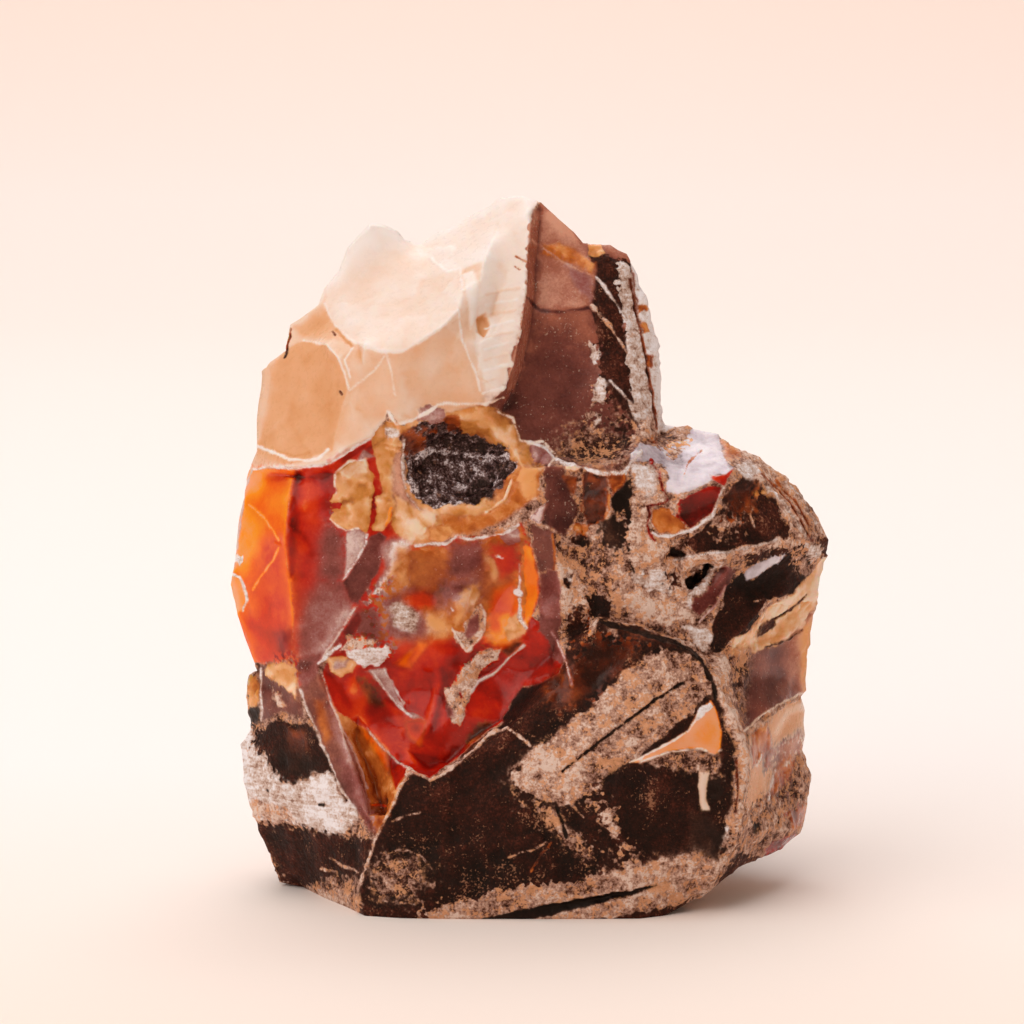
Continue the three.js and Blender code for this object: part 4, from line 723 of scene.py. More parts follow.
# The shoulder: agate top, red jasper, dark facets and tan veins
SHOULDER_PATCHES = (
    Patch("matrix", 0.62, 0, (
        (720, 437), (736, 449), (753, 440), (800, 470), (845, 520), (845, 552), (829, 556), (812, 565),
        (802, 542), (789, 527), (780, 512), (768, 492), (745, 473), (724, 457)), 2, 1.6),
    Patch("rust", 0.62, 0, ((721, 438), (736, 447), (742, 458), (726, 456)), 4, 3),
    Patch("crust", 0.6, 0.1, ((736, 463), (754, 464), (762, 472), (750, 478), (738, 472)), 3, 2),
    Patch("dark", 0.5, 0, ((797, 480), (812, 494), (822, 512), (812, 508), (800, 494)), 3, 3),
    Patch("crust", 0.4, 0.1, ((806, 540), (818, 545), (822, 556), (810, 562), (803, 550)), 3, 3),
    Patch("dark", 0.5, 0, ((818, 536), (832, 540), (830, 556), (820, 552)), 2, 2),
    Patch("rust", 0.3, 0, ((731, 490), (752, 488), (754, 510), (734, 514)), 7, 3),
    Patch("dark", 0.52, 0, ((756, 506), (774, 498), (786, 527), (765, 539), (756, 527)), 1.5),
    Patch("ochre", 0.35, 0.1, ((753, 492), (768, 490), (770, 495), (756, 498)), 1.5, 2),
    Patch("matrix", 0.42, 0, ((712, 512), (728, 508), (738, 520), (726, 534), (712, 526)), 6, 6),
    Patch("agate", 0.46, 0.1, (
        (630, 455), (640, 443), (656, 447), (669, 450), (683, 441), (696, 425), (718, 425), (722, 452),
        (727, 462), (734, 467), (725, 474), (709, 475), (712, 480), (691, 491), (677, 493), (668, 492),
        (666, 484), (669, 478), (662, 465), (650, 461), (632, 462)), 1, 1),
    Patch("agate", 0.62, 0.1, (
        (690, 450), (712, 436), (722, 455), (722, 468), (700, 484), (682, 488), (680, 474)), 6),
    Patch("ochre", 0.62, 0, (
        (667, 443), (677, 440), (691, 440), (690, 444), (676, 446), (668, 449)), 1.5, 2),
    Patch("matrix", 0.6, 0, ((667, 452), (678, 446), (684, 450), (674, 462), (668, 460)), 2, 2),
    Patch("red", 0.14, 0, (
        (680, 500), (710, 486), (721, 487), (719, 495), (712, 512), (690, 528), (685, 524),
        (674, 511)), 1, 0.7),
    Patch("red", 0.36, 0, (
        (710, 477), (725, 475), (734, 468), (727, 479), (724, 486), (715, 481)), 1, 0.7),
    Patch("rust", 0.7, 0.1, (
        (652, 509), (669, 508), (678, 518), (687, 530), (674, 533), (658, 533), (652, 524)), 1.2, 1.5),
    Patch("matrix", 0.8, 0, ((669, 502), (680, 500), (680, 512), (672, 512)), 2, 2),
    Patch("matrix", 0.8, 0.075, (
        (670, 561), (687, 556), (736, 551), (750, 545), (777, 539), (803, 536), (803, 541), (783, 547),
        (750, 556), (722, 562), (708, 568), (690, 592), (680, 598), (665, 585)), 1.2, 2),
    Patch("dark", 0.6, 0, ((744, 556), (783, 545), (783, 551), (752, 565), (744, 565)), 2, 3),
    Patch("crust", 0.5, 0.1, (
        (713, 566), (722, 562), (708, 580), (696, 598), (690, 614), (686, 606), (692, 592),
        (702, 580)), 1.5, 2),
    Patch("lilac", 0.16, 0, (
        (721, 565), (735, 569), (728, 585), (714, 603), (696, 616), (692, 606), (706, 590)), 2, 3),
    Patch("black", 0.1, -0.5, ((672, 547), (685, 555), (683, 560), (669, 555)), 1.5),
    Patch("black", 0.05, -1, (
        (705, 566), (713, 568), (703, 577), (692, 591), (687, 588), (689, 577)), 1, 1.5),
    Patch("dark", 0.5, -0.2, ((668, 574), (677, 572), (678, 584), (669, 588)), 2, 3),
    Patch("agate", 0.6, 0.125, (
        (745, 573), (753, 565), (782, 553), (783, 558), (756, 577), (747, 580)), 1, 1.2),
    Patch("matrix", 0.5, 0, ((790, 548), (802, 543), (812, 565), (805, 577), (795, 572)), 3, 4),
)
SHOULDER_LINES = (
    Line("rust", 0.75, 0.05, 1.8, ((702, 452), (688, 464), (684, 477))),
    Line("crust", 0.75, 0.15, 3.0, (
        (652, 533), (658, 536), (671, 536), (690, 531), (699, 525), (712, 516), (717, 503),
        (723, 488))),
    Line("matrix", 0.7, 0.1, 1.8, ((753, 507), (750, 516), (754, 527))),
    Line("crust", 0.4, 0.1, 2.6, ((765, 484), (786, 506), (805, 536))),
    Line("rust", 0.3, -0.1, 2.2, ((762, 474), (782, 492), (800, 520), (812, 540))),
    Line("rust", 0.4, -0.1, 2.0, ((775, 480), (796, 502), (810, 526))),
    Line("crust", 0.4, 0.1, 2.0, ((785, 482), (803, 500), (816, 524))),
    Line("lilac", 0.85, 0.1, 2.0, ((725, 586), (718, 603), (706, 615), (700, 622))),
    Line("matrix", 0.85, 0.05, 1.6, ((754, 602), (762, 600), (770, 600))),
    Line("crust", 0.6, 0.1, 1.8, ((670, 561), (690, 556), (735, 551), (777, 540))),
)

# The set-back block at the lower right
SIDE_PATCHES = (
    Patch("ochre", 0.84, 0.1, (
        (823, 557), (808, 576), (796, 591), (768, 607), (756, 623), (746, 634), (733, 637), (731, 656),
        (746, 655), (762, 648), (777, 645), (799, 630), (811, 613), (817, 600), (835, 573),
        (835, 555)), 1, 1.5),
    Patch("ochre", 0.66, 0.1, (
        (756, 646), (780, 632), (800, 618), (806, 616), (797, 630), (777, 644)), 5),
    Patch("dark", 0.6, 0, ((756, 640), (758, 626), (772, 618), (776, 624), (764, 636)), 2, 3),
    Patch("glass", 0.8, 0, ((785, 644), (810, 618), (835, 612), (835, 690), (800, 692), (786, 680)), 8),
    Patch("rust", 0.95, 0, ((800, 625), (835, 612), (835, 688), (803, 690), (800, 660)), 7),
    Patch("matrix", 0.32, 0, (
        (734, 648), (752, 650), (748, 680), (742, 725), (737, 712), (731, 681)), 7, 3),
    Patch("glass", 0.35, 0, ((745, 680), (775, 680), (780, 700), (760, 712), (745, 728)), 8),
    Patch("matrix", 0.72, 0.1, ((749, 729), (764, 720), (771, 720), (766, 732), (752, 740)), 2, 2),
    Patch("rust", 0.66, 0.1, (
        (751, 734), (768, 722), (772, 744), (763, 759), (753, 768), (750, 755)), 2),
    Patch("rust", 0.45, 0, ((762, 756), (768, 746), (776, 748), (772, 765), (764, 772)), 4),
    Patch("cream", 0.3, 0.1, (
        (770, 733), (785, 708), (803, 699), (805, 710), (790, 716), (776, 738)), 3),
    Patch("glass", 0.84, 0, (
        (778, 744), (800, 730), (806, 748), (798, 762), (780, 776), (772, 768)), 7),
    Patch("rust", 0.66, 0, ((776, 766), (792, 756), (794, 775), (782, 795), (768, 795)), 6, 2),
    Patch("matrix", 0.34, 0, (
        (794, 755), (803, 755), (820, 770), (820, 798), (794, 799), (788, 790)), 3, 3),
    Patch("matrix", 0.3, 0, ((778, 790), (795, 780), (798, 800), (780, 806)), 5, 3),
    Patch("matrix", 0.52, 0.1, (
        (740, 820), (750, 808), (770, 800), (795, 800), (820, 798), (820, 826), (798, 838), (762, 857),
        (735, 852)), 2, 2.5),
    Patch("rust", 0.5, 0.1, ((786, 814), (804, 802), (812, 812), (804, 822), (792, 830)), 2, 3),
    Patch("black", 0.4, 0, ((752, 822), (760, 824), (758, 831), (750, 830)), 2, 2),
    Patch("red", 0.2, 0, ((764, 848), (794, 833), (800, 838), (766, 856)), 2, 2),
)
SIDE_LINES = (
    Line("cream", 0.6, 0.1, 1.8, ((744, 731), (761, 715), (777, 706), (802, 693))),
    Line("cream", 0.9, 0.1, 2.0, ((760, 755), (757, 766))),
    # Painted rim light: an orange glow along the block's thin lower edge
    Line("orange", 0.8, 0, 2.0, ((716, 888), (733, 878), (770, 862), (798, 846), (806, 832))),
    Line("dark", 0.5, 0, 2.6, ((765, 647), (790, 639), (802, 630))),
    Line("dark", 0.6, 0, 2.4, ((769, 621), (790, 610), (806, 594))),
    Line("crust", 0.7, 0.1, 2.0, ((775, 770), (772, 782), (768, 800))),
)

# The hidden sides break into angular fragments. Each takes its kind of stone from the front at its own
# height, and looks further away for it the further back it lies. Lengths are in the stone's millimetres
FRAGMENT = 9.5
FRAGMENT_BEND = 2.4
FRAGMENT_SEEK = (16.0, 7.0)  # across and up
SEEK_START = -8.0
SEEK_FULL = 14.0
PLAIN_SHARE = 0.42  # how many of the fragments at the back are plain matrix
WRAP_BACK = -7.0  # the front's own markings run round the edge to fragments that lie before this
FRAGMENT_SOFT = 2.0
FRAGMENT_STEP = 0.55
FRAGMENT_TILT = 0.16
FRAGMENT_BEND_SIZE = 3.0
FRAGMENT_TONES = (0.2, 0.8)  # how dark and how light a fragment may be
FRAGMENT_TONE_SWAY = 0.12
FRAGMENT_FADE = (0.04, 0.4)  # the fragments' relief fades towards the outline, as the cosine to the camera
FRAGMENT_SHOWN = (-0.2, -0.06)  # from the fragments to the front's markings, as the same cosine
HOLLOWS = (7.0, 0.8)  # broad hollows and lumps: their size and height
RIND_MEAN = 0.35  # how much pale rind there is between fragments
RIND_SWAY = 1.6
RIND_SIZE = 5.0

PATCH_GROUPS = (
    BROAD_PATCHES, CAP_PATCHES, GLASS_PATCHES, WINDOW_PATCHES, EYE_PATCHES, HOLLOW_PATCHES, BLOCK_PATCHES,
    PANEL_PATCHES, MATRIX_PATCHES, SHOULDER_PATCHES, SIDE_PATCHES,
)
LINE_GROUPS = (
    CAP_LINES, fin_ripples(), GLASS_LINES, WINDOW_LINES, EYE_LINES, HOLLOW_LINES, BLOCK_LINES,
    PANEL_LINES, MATRIX_LINES, SHOULDER_LINES, SIDE_LINES,
)
SHADES = CAP_SHADES + WINDOW_SHADES


class OpalStoneSettings(bpy.types.PropertyGroup):
    front_edge: FloatProperty(
        name="Front edge", description="Longest edge of the fine mesh on the front", default=0.90 * MM,
        unit="LENGTH")
    border_edge: FloatProperty(
        name="Border edge", description="Longest edge of the fine mesh where two kinds of stone meet",
        default=0.54 * MM, unit="LENGTH")
    line_edge: FloatProperty(
        name="Line edge", description="Longest edge of the fine mesh along thin lines", default=0.34 * MM,
        unit="LENGTH")
    hidden_edge: FloatProperty(
        name="Hidden edge", description="Longest edge of the fine mesh on the other sides", default=1.9 * MM,
        unit="LENGTH")
    step_edge: FloatProperty(
        name="Step edge", description="Longest edge of the fine mesh where fragments meet on the other sides",
        default=1.2 * MM, unit="LENGTH")
    relief: FloatProperty(
        name="Relief", description="Height of the fine relief against the real stone's", default=1.0,
        subtype="FACTOR")
    # How much the tone follows the relief: lighter where the stone stands out, partly worn edges and partly
    # painted edge light, and darker in its hollows as painted shade
    wear_and_shade: FloatProperty(
        name="Wear", description="How much lighter the stone is where it stands out", default=1.0,
        subtype="FACTOR")


class OpalStudioSettings(bpy.types.PropertyGroup):
    key_power: FloatProperty(
        name="Key light", description="Power of the large soft light at the upper left", default=8.4,
        unit="POWER")


def linear(hex_colour):
    """The linear colour of an sRGB hex value."""
    channels = [int(hex_colour[i:i + 2], 16) / 255 for i in (0, 2, 4)]
    return tuple(c / 12.92 if c <= 0.04045 else ((c + 0.055) / 1.055) ** 2.4 for c in channels) + (1.0,)


def smooth_step(value, low, high):
    t = np.clip((value - low) / (high - low), 0, 1)
    return t * t * (3 - 2 * t)


TINY = 1e-12


# The mesh: the solid's skin in millimetres, welded, cut finer and smoothed
def read_solid():
    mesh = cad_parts[NODE].data
    mesh.calc_loop_triangles()
    points = np.empty(len(mesh.vertices) * 3)
    mesh.vertices.foreach_get("co", points)
    faces = np.empty(len(mesh.loop_triangles) * 3, dtype=np.int32)
    mesh.loop_triangles.foreach_get("vertices", faces)
    rounded = np.round(points.reshape(-1, 3) / MM, 3)
    points, welded = np.unique(rounded, axis=0, return_inverse=True)
    faces = welded.reshape(-1)[faces].reshape(-1, 3)
    whole = (faces[:, 0] != faces[:, 1]) & (faces[:, 1] != faces[:, 2]) & (faces[:, 0] != faces[:, 2])
    return points, faces[whole]


def face_normals(points, faces):
    a, b, c = (points[faces[:, k]] for k in range(3))
    return np.cross(b - a, c - a)


def point_normals(points, faces):
    across = face_normals(points, faces)
    normals = np.zeros_like(points)
    for k in range(3):
        np.add.at(normals, faces[:, k], across)
    return normals / np.maximum(np.linalg.norm(normals, axis=1, keepdims=True), TINY)


def edges_of(faces):
    """The edges, each once, and for each face the places of its three edges among them."""
    sides = np.sort(np.concatenate([faces[:, [0, 1]], faces[:, [1, 2]], faces[:, [2, 0]]]), axis=1)
    edges, place = np.unique(sides, axis=0, return_inverse=True)
    return edges, place.reshape(3, -1).T


CREST_ANGLE = math.radians(42)


def crest_edges(points, faces):
    """The edges where the skin bends sharply."""
    edges, place = edges_of(faces)
    normals = face_normals(points, faces)
    normals /= np.maximum(np.linalg.norm(normals, axis=1, keepdims=True), TINY)
    total = np.zeros((len(edges), 3))
    for k in range(3):
        np.add.at(total, place[:, k], normals)
    bend = 2 * np.arccos(np.clip(np.linalg.norm(total, axis=1) / 2, 0, 1))
    return {tuple(edge) for edge in edges[bend > CREST_ANGLE].tolist()}


def cut_long_edges(points, faces, crests, limits):
    """Halves each edge that is longer than the limit at either of its ends, and cuts the faces beside it.

    Gives the points, the faces and the edges that were halved, whose new points come last."""
    edges, place = edges_of(faces)
    length = np.linalg.norm(points[edges[:, 0]] - points[edges[:, 1]], axis=1)
    is_long = length > np.minimum(limits[edges[:, 0]], limits[edges[:, 1]])
    middle = (points[edges[is_long, 0]] + points[edges[is_long, 1]]) / 2
    made = np.full(len(edges), -1)
    made[is_long] = len(points) + np.arange(is_long.sum())
    for (a, b), new in zip(edges[is_long].tolist(), made[is_long].tolist()):
        if (a, b) in crests:
            crests.discard((a, b))
            crests.update(((a, new), (b, new)))
    mids = made[place]
    cuts = (mids >= 0).sum(axis=1)
    first = np.where(cuts == 1, np.argmax(mids >= 0, axis=1), (np.argmin(mids, axis=1) + 1) % 3)
    turn = (first[:, None] + np.arange(3)) % 3
    a, b, c = np.take_along_axis(faces, turn, axis=1).T
    ab, bc, ca = np.take_along_axis(mids, turn, axis=1).T

    def pick(count, *corners):
        return np.stack([corner[cuts == count] for corner in corners], axis=1)

    parts = [
        pick(0, a, b, c), pick(1, a, ab, c), pick(1, ab, b, c),
        pick(2, ab, b, bc), pick(2, a, ab, bc), pick(2, a, bc, c),
        pick(3, a, ab, ca), pick(3, ab, b, bc), pick(3, ca, bc, c), pick(3, ab, bc, ca),
    ]
    return np.concatenate([points, middle]), np.concatenate(parts), edges[is_long]


CUT_ROUNDS = 4  # each round halves the long edges once
SHOWN_BLUR = 6
SHOWN_RANGE = (-0.3, 0.05)  # from hidden to shown, as the cosine to the camera


def cut_until_fine(points, faces, crests, limit_of):
    """Cuts the skin until hardly an edge is longer than limit_of allows where it lies."""
    shown = smooth_step(spread_out(facing_photo(points, faces), faces, SHOWN_BLUR), *SHOWN_RANGE)
    limits = limit_of(points, shown)
    for _ in range(CUT_ROUNDS):
        points, faces, halved = cut_long_edges(points, faces, crests, limits)
        if not len(halved):
            break
        middle_shown = shown[halved].mean(axis=1)
        shown = np.concatenate([shown, middle_shown])
        limits = np.concatenate([limits, limit_of(points[-len(halved):], middle_shown)])
    return points, faces


def near_sums(values, edges):
    """The sum of the values at each point's neighbours, and how many there are."""
    count = np.bincount(edges.ravel(), minlength=len(values))
    columns = values.reshape(len(values), -1).T
    total = [
        np.bincount(edges[:, 0], column[edges[:, 1]], len(values))
        + np.bincount(edges[:, 1], column[edges[:, 0]], len(values)) for column in columns]
    return np.array(total).T.reshape(values.shape), count.reshape((-1,) + (1,) * (values.ndim - 1))


def spread_out(values, faces, rounds):
    """Blurs values over the skin."""
    edges, _ = edges_of(faces)
    for _ in range(rounds):
        total, count = near_sums(values, edges)
        values = (values + total / count) / 2
    return values


FOOT_LEVEL = 0.02
CREST_HOLD = 0.12  # how much of the rounding a crest takes
ROUND_STEPS = (0.5, -0.52)  # in and out again, so that the stone doesn't shrink


def smooth_skin(points, faces, crests, rounds):
    """Rounds the skin, but hardly at its crests, and keeps the resting face flat."""
    edges, _ = edges_of(faces)
    hold = np.ones((len(points), 1))
    hold[np.array(list(crests)).ravel()] = CREST_HOLD
    is_foot = points[:, 2] < FOOT_LEVEL
    for step in ROUND_STEPS * rounds:
        total, count = near_sums(points, edges)
        points = points + (total / count - points) * step * hold
        points[is_foot, 2] = 0
    return points


# The photograph's view, as a place for each point of the stone
def eye_place():
    aim_across = FOOT_ACROSS + (PHOTO_SIZE / 2 - FOOT_PIXEL[0]) / PIXELS_PER_MM
    aim_up = (FOOT_PIXEL[1] - PHOTO_SIZE / 2) / PIXELS_PER_MM
    aim = np.array([aim_across, FOOT_BACK + aim_up * math.sin(VIEW_DROP), aim_up * math.cos(VIEW_DROP)])
    ahead = np.array([0, math.cos(VIEW_DROP), -math.sin(VIEW_DROP)])
    return aim - ahead * VIEW_DISTANCE, ahead


def photo_places(points):
    """Where each point shows in the photograph, in its pixels."""
    eye, ahead = eye_place()
    up = np.array([0, math.sin(VIEW_DROP), math.cos(VIEW_DROP)])
    away = points - eye
    scale = PIXELS_PER_MM * VIEW_DISTANCE / (away @ ahead)
    return np.stack([PHOTO_SIZE / 2 + away[:, 0] * scale, PHOTO_SIZE / 2 - (away @ up) * scale], axis=1)


NOISE_FALL = 0.7  # how fast the finer octaves fade
NOISE_GAP = 2.1  # how much finer each octave is


def noise_at(points, size, octaves=1, shift=0.0):
    """Soft noise between about -1 and 1 at each point, with lumps of the given size in mm."""
    offset = Vector((shift, shift * 0.7, -shift))
    return np.array([
        noise.fractal(Vector(p) + offset, NOISE_FALL, NOISE_GAP, octaves) for p in points / size])


def facets_at(points, size, shift=0.0):
    """Flat chipped facets: each cell of the given size in mm is a plane with a tilt of its own."""
    offset = Vector((shift, -shift, shift * 0.5))
    heights = []
    for p in points / size:
        place = Vector(p) + offset
        centre = noise.voronoi(place)[1][0]
        heights.append((place - centre).dot(noise.noise_vector(centre * 5.3)))
    return np.array(heights)


NOWHERE = 1e9  # pixels, further than anything is


# Painting: how far each point is inside a shape, in pixels
def distance_to_step(places, a, b):
    along = b - a
    share = np.clip(((places - a) @ along) / max(along @ along, TINY), 0, 1)
    return np.linalg.norm(places - a - share[:, None] * along, axis=1)


def inside_polygon(places, outline):
    corners = np.array(outline, dtype=float)
    nearest = np.full(len(places), NOWHERE)
    is_inside = np.zeros(len(places), dtype=bool)
    for a, b in zip(corners, np.roll(corners, -1, axis=0)):
        nearest = np.minimum(nearest, distance_to_step(places, a, b))
        crosses = (a[1] > places[:, 1]) != (b[1] > places[:, 1])
        rise = b[1] - a[1] if b[1] != a[1] else TINY
        is_inside ^= crosses & (places[:, 0] < (b[0] - a[0]) * (places[:, 1] - a[1]) / rise + a[0])
    return np.where(is_inside, nearest, -nearest)


def inside_line(places, points, width):
    corners = np.array(points, dtype=float)
    nearest = np.full(len(places), NOWHERE)
    for a, b in zip(corners[:-1], corners[1:]):
        nearest = np.minimum(nearest, distance_to_step(places, a, b))
    return width / 2 - nearest


DEEP = 8.0  # a depth that is wholly inside a kind, in steps of its border's own width
REACH = 48.0  # how far a patch changes the depths around it, in pixels
LINE_SOFT = 0.9
LINE_WANDER = 0.5  # how much a line bends, as a share of a border's bend
LINE_RAGGED = 0.6
CRISP_BORDER = 3.0  # the widest border, in pixels, that the mesh is cut finer for
TONE_SOFT = 1.2  # pixels at least, to each side of a border, over which the tone changes
RAISE_RANGE = (-1.0, 3.0)  # where a raised patch starts and stands full, in pixels from its border
RAGGED_DEPTH = 4.0  # the raggedness of a border fades from this depth
SHADE_FULL = 0.8


class Coat:
    """The kinds of stone over a set of points, with their tone, raggedness and height."""

    def __init__(self, count, kind, tone):
        self.depth = {name: np.full(count, -DEEP) for name in KINDS}
        self.depth[kind][:] = DEEP
        self.tone = np.full(count, float(tone))
        self.ragged = np.zeros(count)
        self.raised = np.zeros(count)
        self.rim = np.zeros(count)
        self.border = np.full(count, REACH)
        self.line = np.full(count, REACH)

    def lay(self, kind, tone, raised, inside, soft, ragged, chosen):
        """Lays one patch over the chosen points."""
        inside = np.clip(inside / soft, -DEEP, DEEP)
        for name in KINDS:
            if name == kind:
                self.depth[name][chosen] = np.maximum(self.depth[name][chosen], inside)
            else:
                self.depth[name][chosen] = np.minimum(self.depth[name][chosen], -inside)
        reach = max(soft, TONE_SOFT) / soft
        self.tone[chosen] += (tone - self.tone[chosen]) * smooth_step(inside, -reach, reach)
        self.raised[chosen] += raised * smooth_step(inside * soft, *RAISE_RANGE)
        edge_share = 1 - smooth_step(np.abs(inside), RAGGED_DEPTH, DEEP)
        self.ragged[chosen] += (ragged / soft - self.ragged[chosen]) * edge_share
        away = np.abs(inside * soft)
        if soft > CRISP_BORDER:
            away = np.where(inside > 0, self.border[chosen], away + REACH)
        self.border[chosen] = np.where(inside > 0, away, np.minimum(self.border[chosen], away))

    def shade(self, tone, strength, reach):
        self.tone += (tone - self.tone) * strength * smooth_step(1 - reach, 0, SHADE_FULL)


def near_shape(places, corners):
    low = np.min(corners, axis=0) - REACH
    high = np.max(corners, axis=0) + REACH
    return np.flatnonzero(np.all((places > low) & (places < high), axis=1))


WANDER = 2.0  # how far the painted borders bend, in pixels
BEND_SIZE = 1.5  # mm
FULL_DRIFT = 2.0  # the drift that bends a border by WANDER
MOST_BEND = 2  # and no border bends by more than this many times it
LINE_WIDTH_SIZE = 1.6  # mm, over which a line's width changes
LINE_WIDTH_SWAY = 0.9
LINE_WIDTH_RANGE = (0.35, 1.4)


def paint_front(points):
    """The front as the photograph shows it, with borders that wander as they do in stone."""
    places = photo_places(points)
    bend = np.stack([noise_at(points, BEND_SIZE, 2, shift) for shift in (3.1, 9.7)], axis=1)
    coat = Coat(len(points), "matrix", 0.5)
    for group in PATCH_GROUPS:
        for patch in group:
            drift = KINDS[patch.kind].drift * patch.ragged
            chosen = near_shape(places, patch.outline)
            there = places[chosen] + bend[chosen] * WANDER * min(drift / FULL_DRIFT, MOST_BEND)
            inside = inside_polygon(there, patch.outline)
            coat.lay(patch.kind, patch.tone, patch.raised, inside, patch.soft, drift, chosen)
    for mark in SHADES:
        reach = np.linalg.norm((places - mark.centre) / mark.size, axis=1)
        coat.shade(mark.tone, mark.strength, reach)
    widths = 1.0 + noise_at(points, LINE_WIDTH_SIZE, 2, 4.4) * LINE_WIDTH_SWAY
    widths = np.clip(widths, *LINE_WIDTH_RANGE)
    for group in LINE_GROUPS:
        for line in group:
            chosen = near_shape(places, line.points)
            there = places[chosen] + bend[chosen] * WANDER * LINE_WANDER
            inside = inside_line(there, line.points, line.width * widths[chosen])
            coat.lay(line.kind, line.tone, line.raised, inside, LINE_SOFT, LINE_RAGGED, chosen)
            coat.line[chosen] = np.minimum(coat.line[chosen], -inside)
    return coat


FAR = 99.0  # mm, stands for a fragment that isn't near


class Fragments:
    """The angular fragments round each point: how far its four nearest are, and what each is made of."""

    def __init__(self, points):
        bend = np.stack([noise_at(points, FRAGMENT_BEND_SIZE, 2, shift) for shift in (1.3, 5.9, 8.2)], axis=1)
        self.bent = points + bend * FRAGMENT_BEND
        found = [noise.voronoi(Vector(p)) for p in self.bent / FRAGMENT]
        self.gaps = np.array([gaps for gaps, _ in found]) * FRAGMENT
        near = np.array([[tuple(centre) for centre in centres] for _, centres in found]) * FRAGMENT
        self.centres, number = np.unique(np.round(near.reshape(-1, 3), 3), axis=0, return_inverse=True)
        self.number = number.reshape(-1, 4)
        self.dice = np.array([tuple(noise.cell_vector(Vector(centre))) for centre in self.centres]) * 2 - 1

    def own(self, values):
        """The value of each point's own fragment."""
        return values[self.number[:, 0]]

    def back_share(self):
        return smooth_step(self.centres[:, 1], SEEK_START, SEEK_FULL)

    def look_at_front(self):
        """Each fragment's kind, as its place in KINDS, and its tone."""
        back = self.back_share()
        seek = np.zeros_like(self.centres)
        seek[:, 0] = self.dice[:, 0] * FRAGMENT_SEEK[0] * back
        seek[:, 2] = self.dice[:, 1] * FRAGMENT_SEEK[1] * back
        seen = paint_front(self.centres + seek)
        kinds = np.argmax([seen.depth[name] for name in KINDS], axis=0)
        is_plain = (self.dice[:, 2] < 2 * PLAIN_SHARE - 1) & (back > 0.5)
        kinds[is_plain] = list(KINDS).index("matrix")
        return kinds, np.clip(seen.tone, *FRAGMENT_TONES) + self.dice[:, 2] * FRAGMENT_TONE_SWAY

    def to_border(self):
        """How far each point is from its fragment's border, in mm."""
        return (self.gaps[:, 1] - self.gaps[:, 0]) / 2

    def lift(self):
        """How far each point stands in or out with its fragment, which is a plane with a tilt of its own."""
        away = self.bent - self.own(self.centres)
        tilt = (away * self.own(self.dice)).sum(axis=1) * FRAGMENT_TILT
        return tilt + self.own(self.dice[:, 0]) * FRAGMENT_STEP


def paint_hidden(points, fragments):
    """The other sides: fragments of the kinds that the front shows."""
    coat = Coat(len(points), "matrix", 0.45)
    all_kinds, tones = fragments.look_at_front()
    kinds = all_kinds[fragments.number]
    for i, name in enumerate(KINDS):
        nearest = np.where(kinds == i, fragments.gaps, FAR).min(axis=1)
        other = np.where(kinds != i, fragments.gaps, FAR).min(axis=1)
        inside = (other - nearest) / 2 * PIXELS_PER_MM
        coat.depth[name] = np.clip(inside / FRAGMENT_SOFT, -DEEP, DEEP)
    drifts = np.array([kind.drift for kind in KINDS.values()])
    coat.tone = fragments.own(tones)
    coat.ragged = fragments.own(drifts[all_kinds]) / FRAGMENT_SOFT
    coat.raised = fragments.lift() + noise_at(points, HOLLOWS[0], 3, 2.2) * HOLLOWS[1]
    coat.rim = np.clip(RIND_MEAN + noise_at(points, RIND_SIZE, 2, 6.6) * RIND_SWAY, 0, 1)
    return coat


def blend_coats(front, hidden, share, facing):
    """One coat that goes from hidden to front as the share goes from 0 to 1."""
    for name in KINDS:
        front.depth[name] = hidden.depth[name] + (front.depth[name] - hidden.depth[name]) * share
    hidden.raised = hidden.raised * smooth_step(-facing, *FRAGMENT_FADE)
    for field in ("tone", "ragged", "raised", "rim"):
        old, new = getattr(hidden, field), getattr(front, field)
        setattr(front, field, old + (new - old) * share)
    return front


SHARPNESS = 2.0  # how fast one kind gives way to another over its border's width
LEAST_SHARE = 0.02  # a kind with less than this adds no relief
WAVE_OCTAVES = 4


def kind_shares(coat):
    weights = {name: np.exp(SHARPNESS * np.clip(coat.depth[name], -DEEP, DEEP)) for name in KINDS}
    total = sum(weights.values())
    return {name: weights[name] / total for name in KINDS}


def relief_of(points, coat):
    """How far the fine relief lifts each point, in mm."""
    shares = kind_shares(coat)
    lift = coat.raised.copy()
    for i, (name, kind) in enumerate(KINDS.items()):
        chosen = np.flatnonzero(shares[name] > LEAST_SHARE)
        if not len(chosen):
            continue
        there = points[chosen]
        waves = noise_at(there, kind.waves[0], WAVE_OCTAVES, i * 3.3) * kind.waves[1]
        facets = facets_at(there, kind.facets[0], i * 2.1) * kind.facets[1]
        lift[chosen] += (waves + facets) * shares[name][chosen]
    return lift


def stand_out(points, faces, rounds):
    """How far each point stands out of the skin around it, in mm; negative in hollows."""
    around = spread_out(points, faces, rounds)
    return ((points - around) * point_normals(around, faces)).sum(axis=1)


def facing_photo(points, faces):
    eye, _ = eye_place()
    away = eye - points
    away /= np.linalg.norm(away, axis=1, keepdims=True)
    return (away * point_normals(points, faces)).sum(axis=1)


FIRST_EDGE = 1.9  # mm, for the first rounding of the skin
BORDER_BAND = (2, 5)  # from the border's edge length to the front's, in pixels from a border
LINE_BAND = (2, 4.5)  # the same beside a thin line
STEP_BAND = (0.2, 0.7)  # the same between fragments, in mm
FACING_BLUR = 30
WEAR_SHADE_BLUR = 16
FOOT_FADE = 2.0  # mm, the relief starts above the resting face and is full at this height


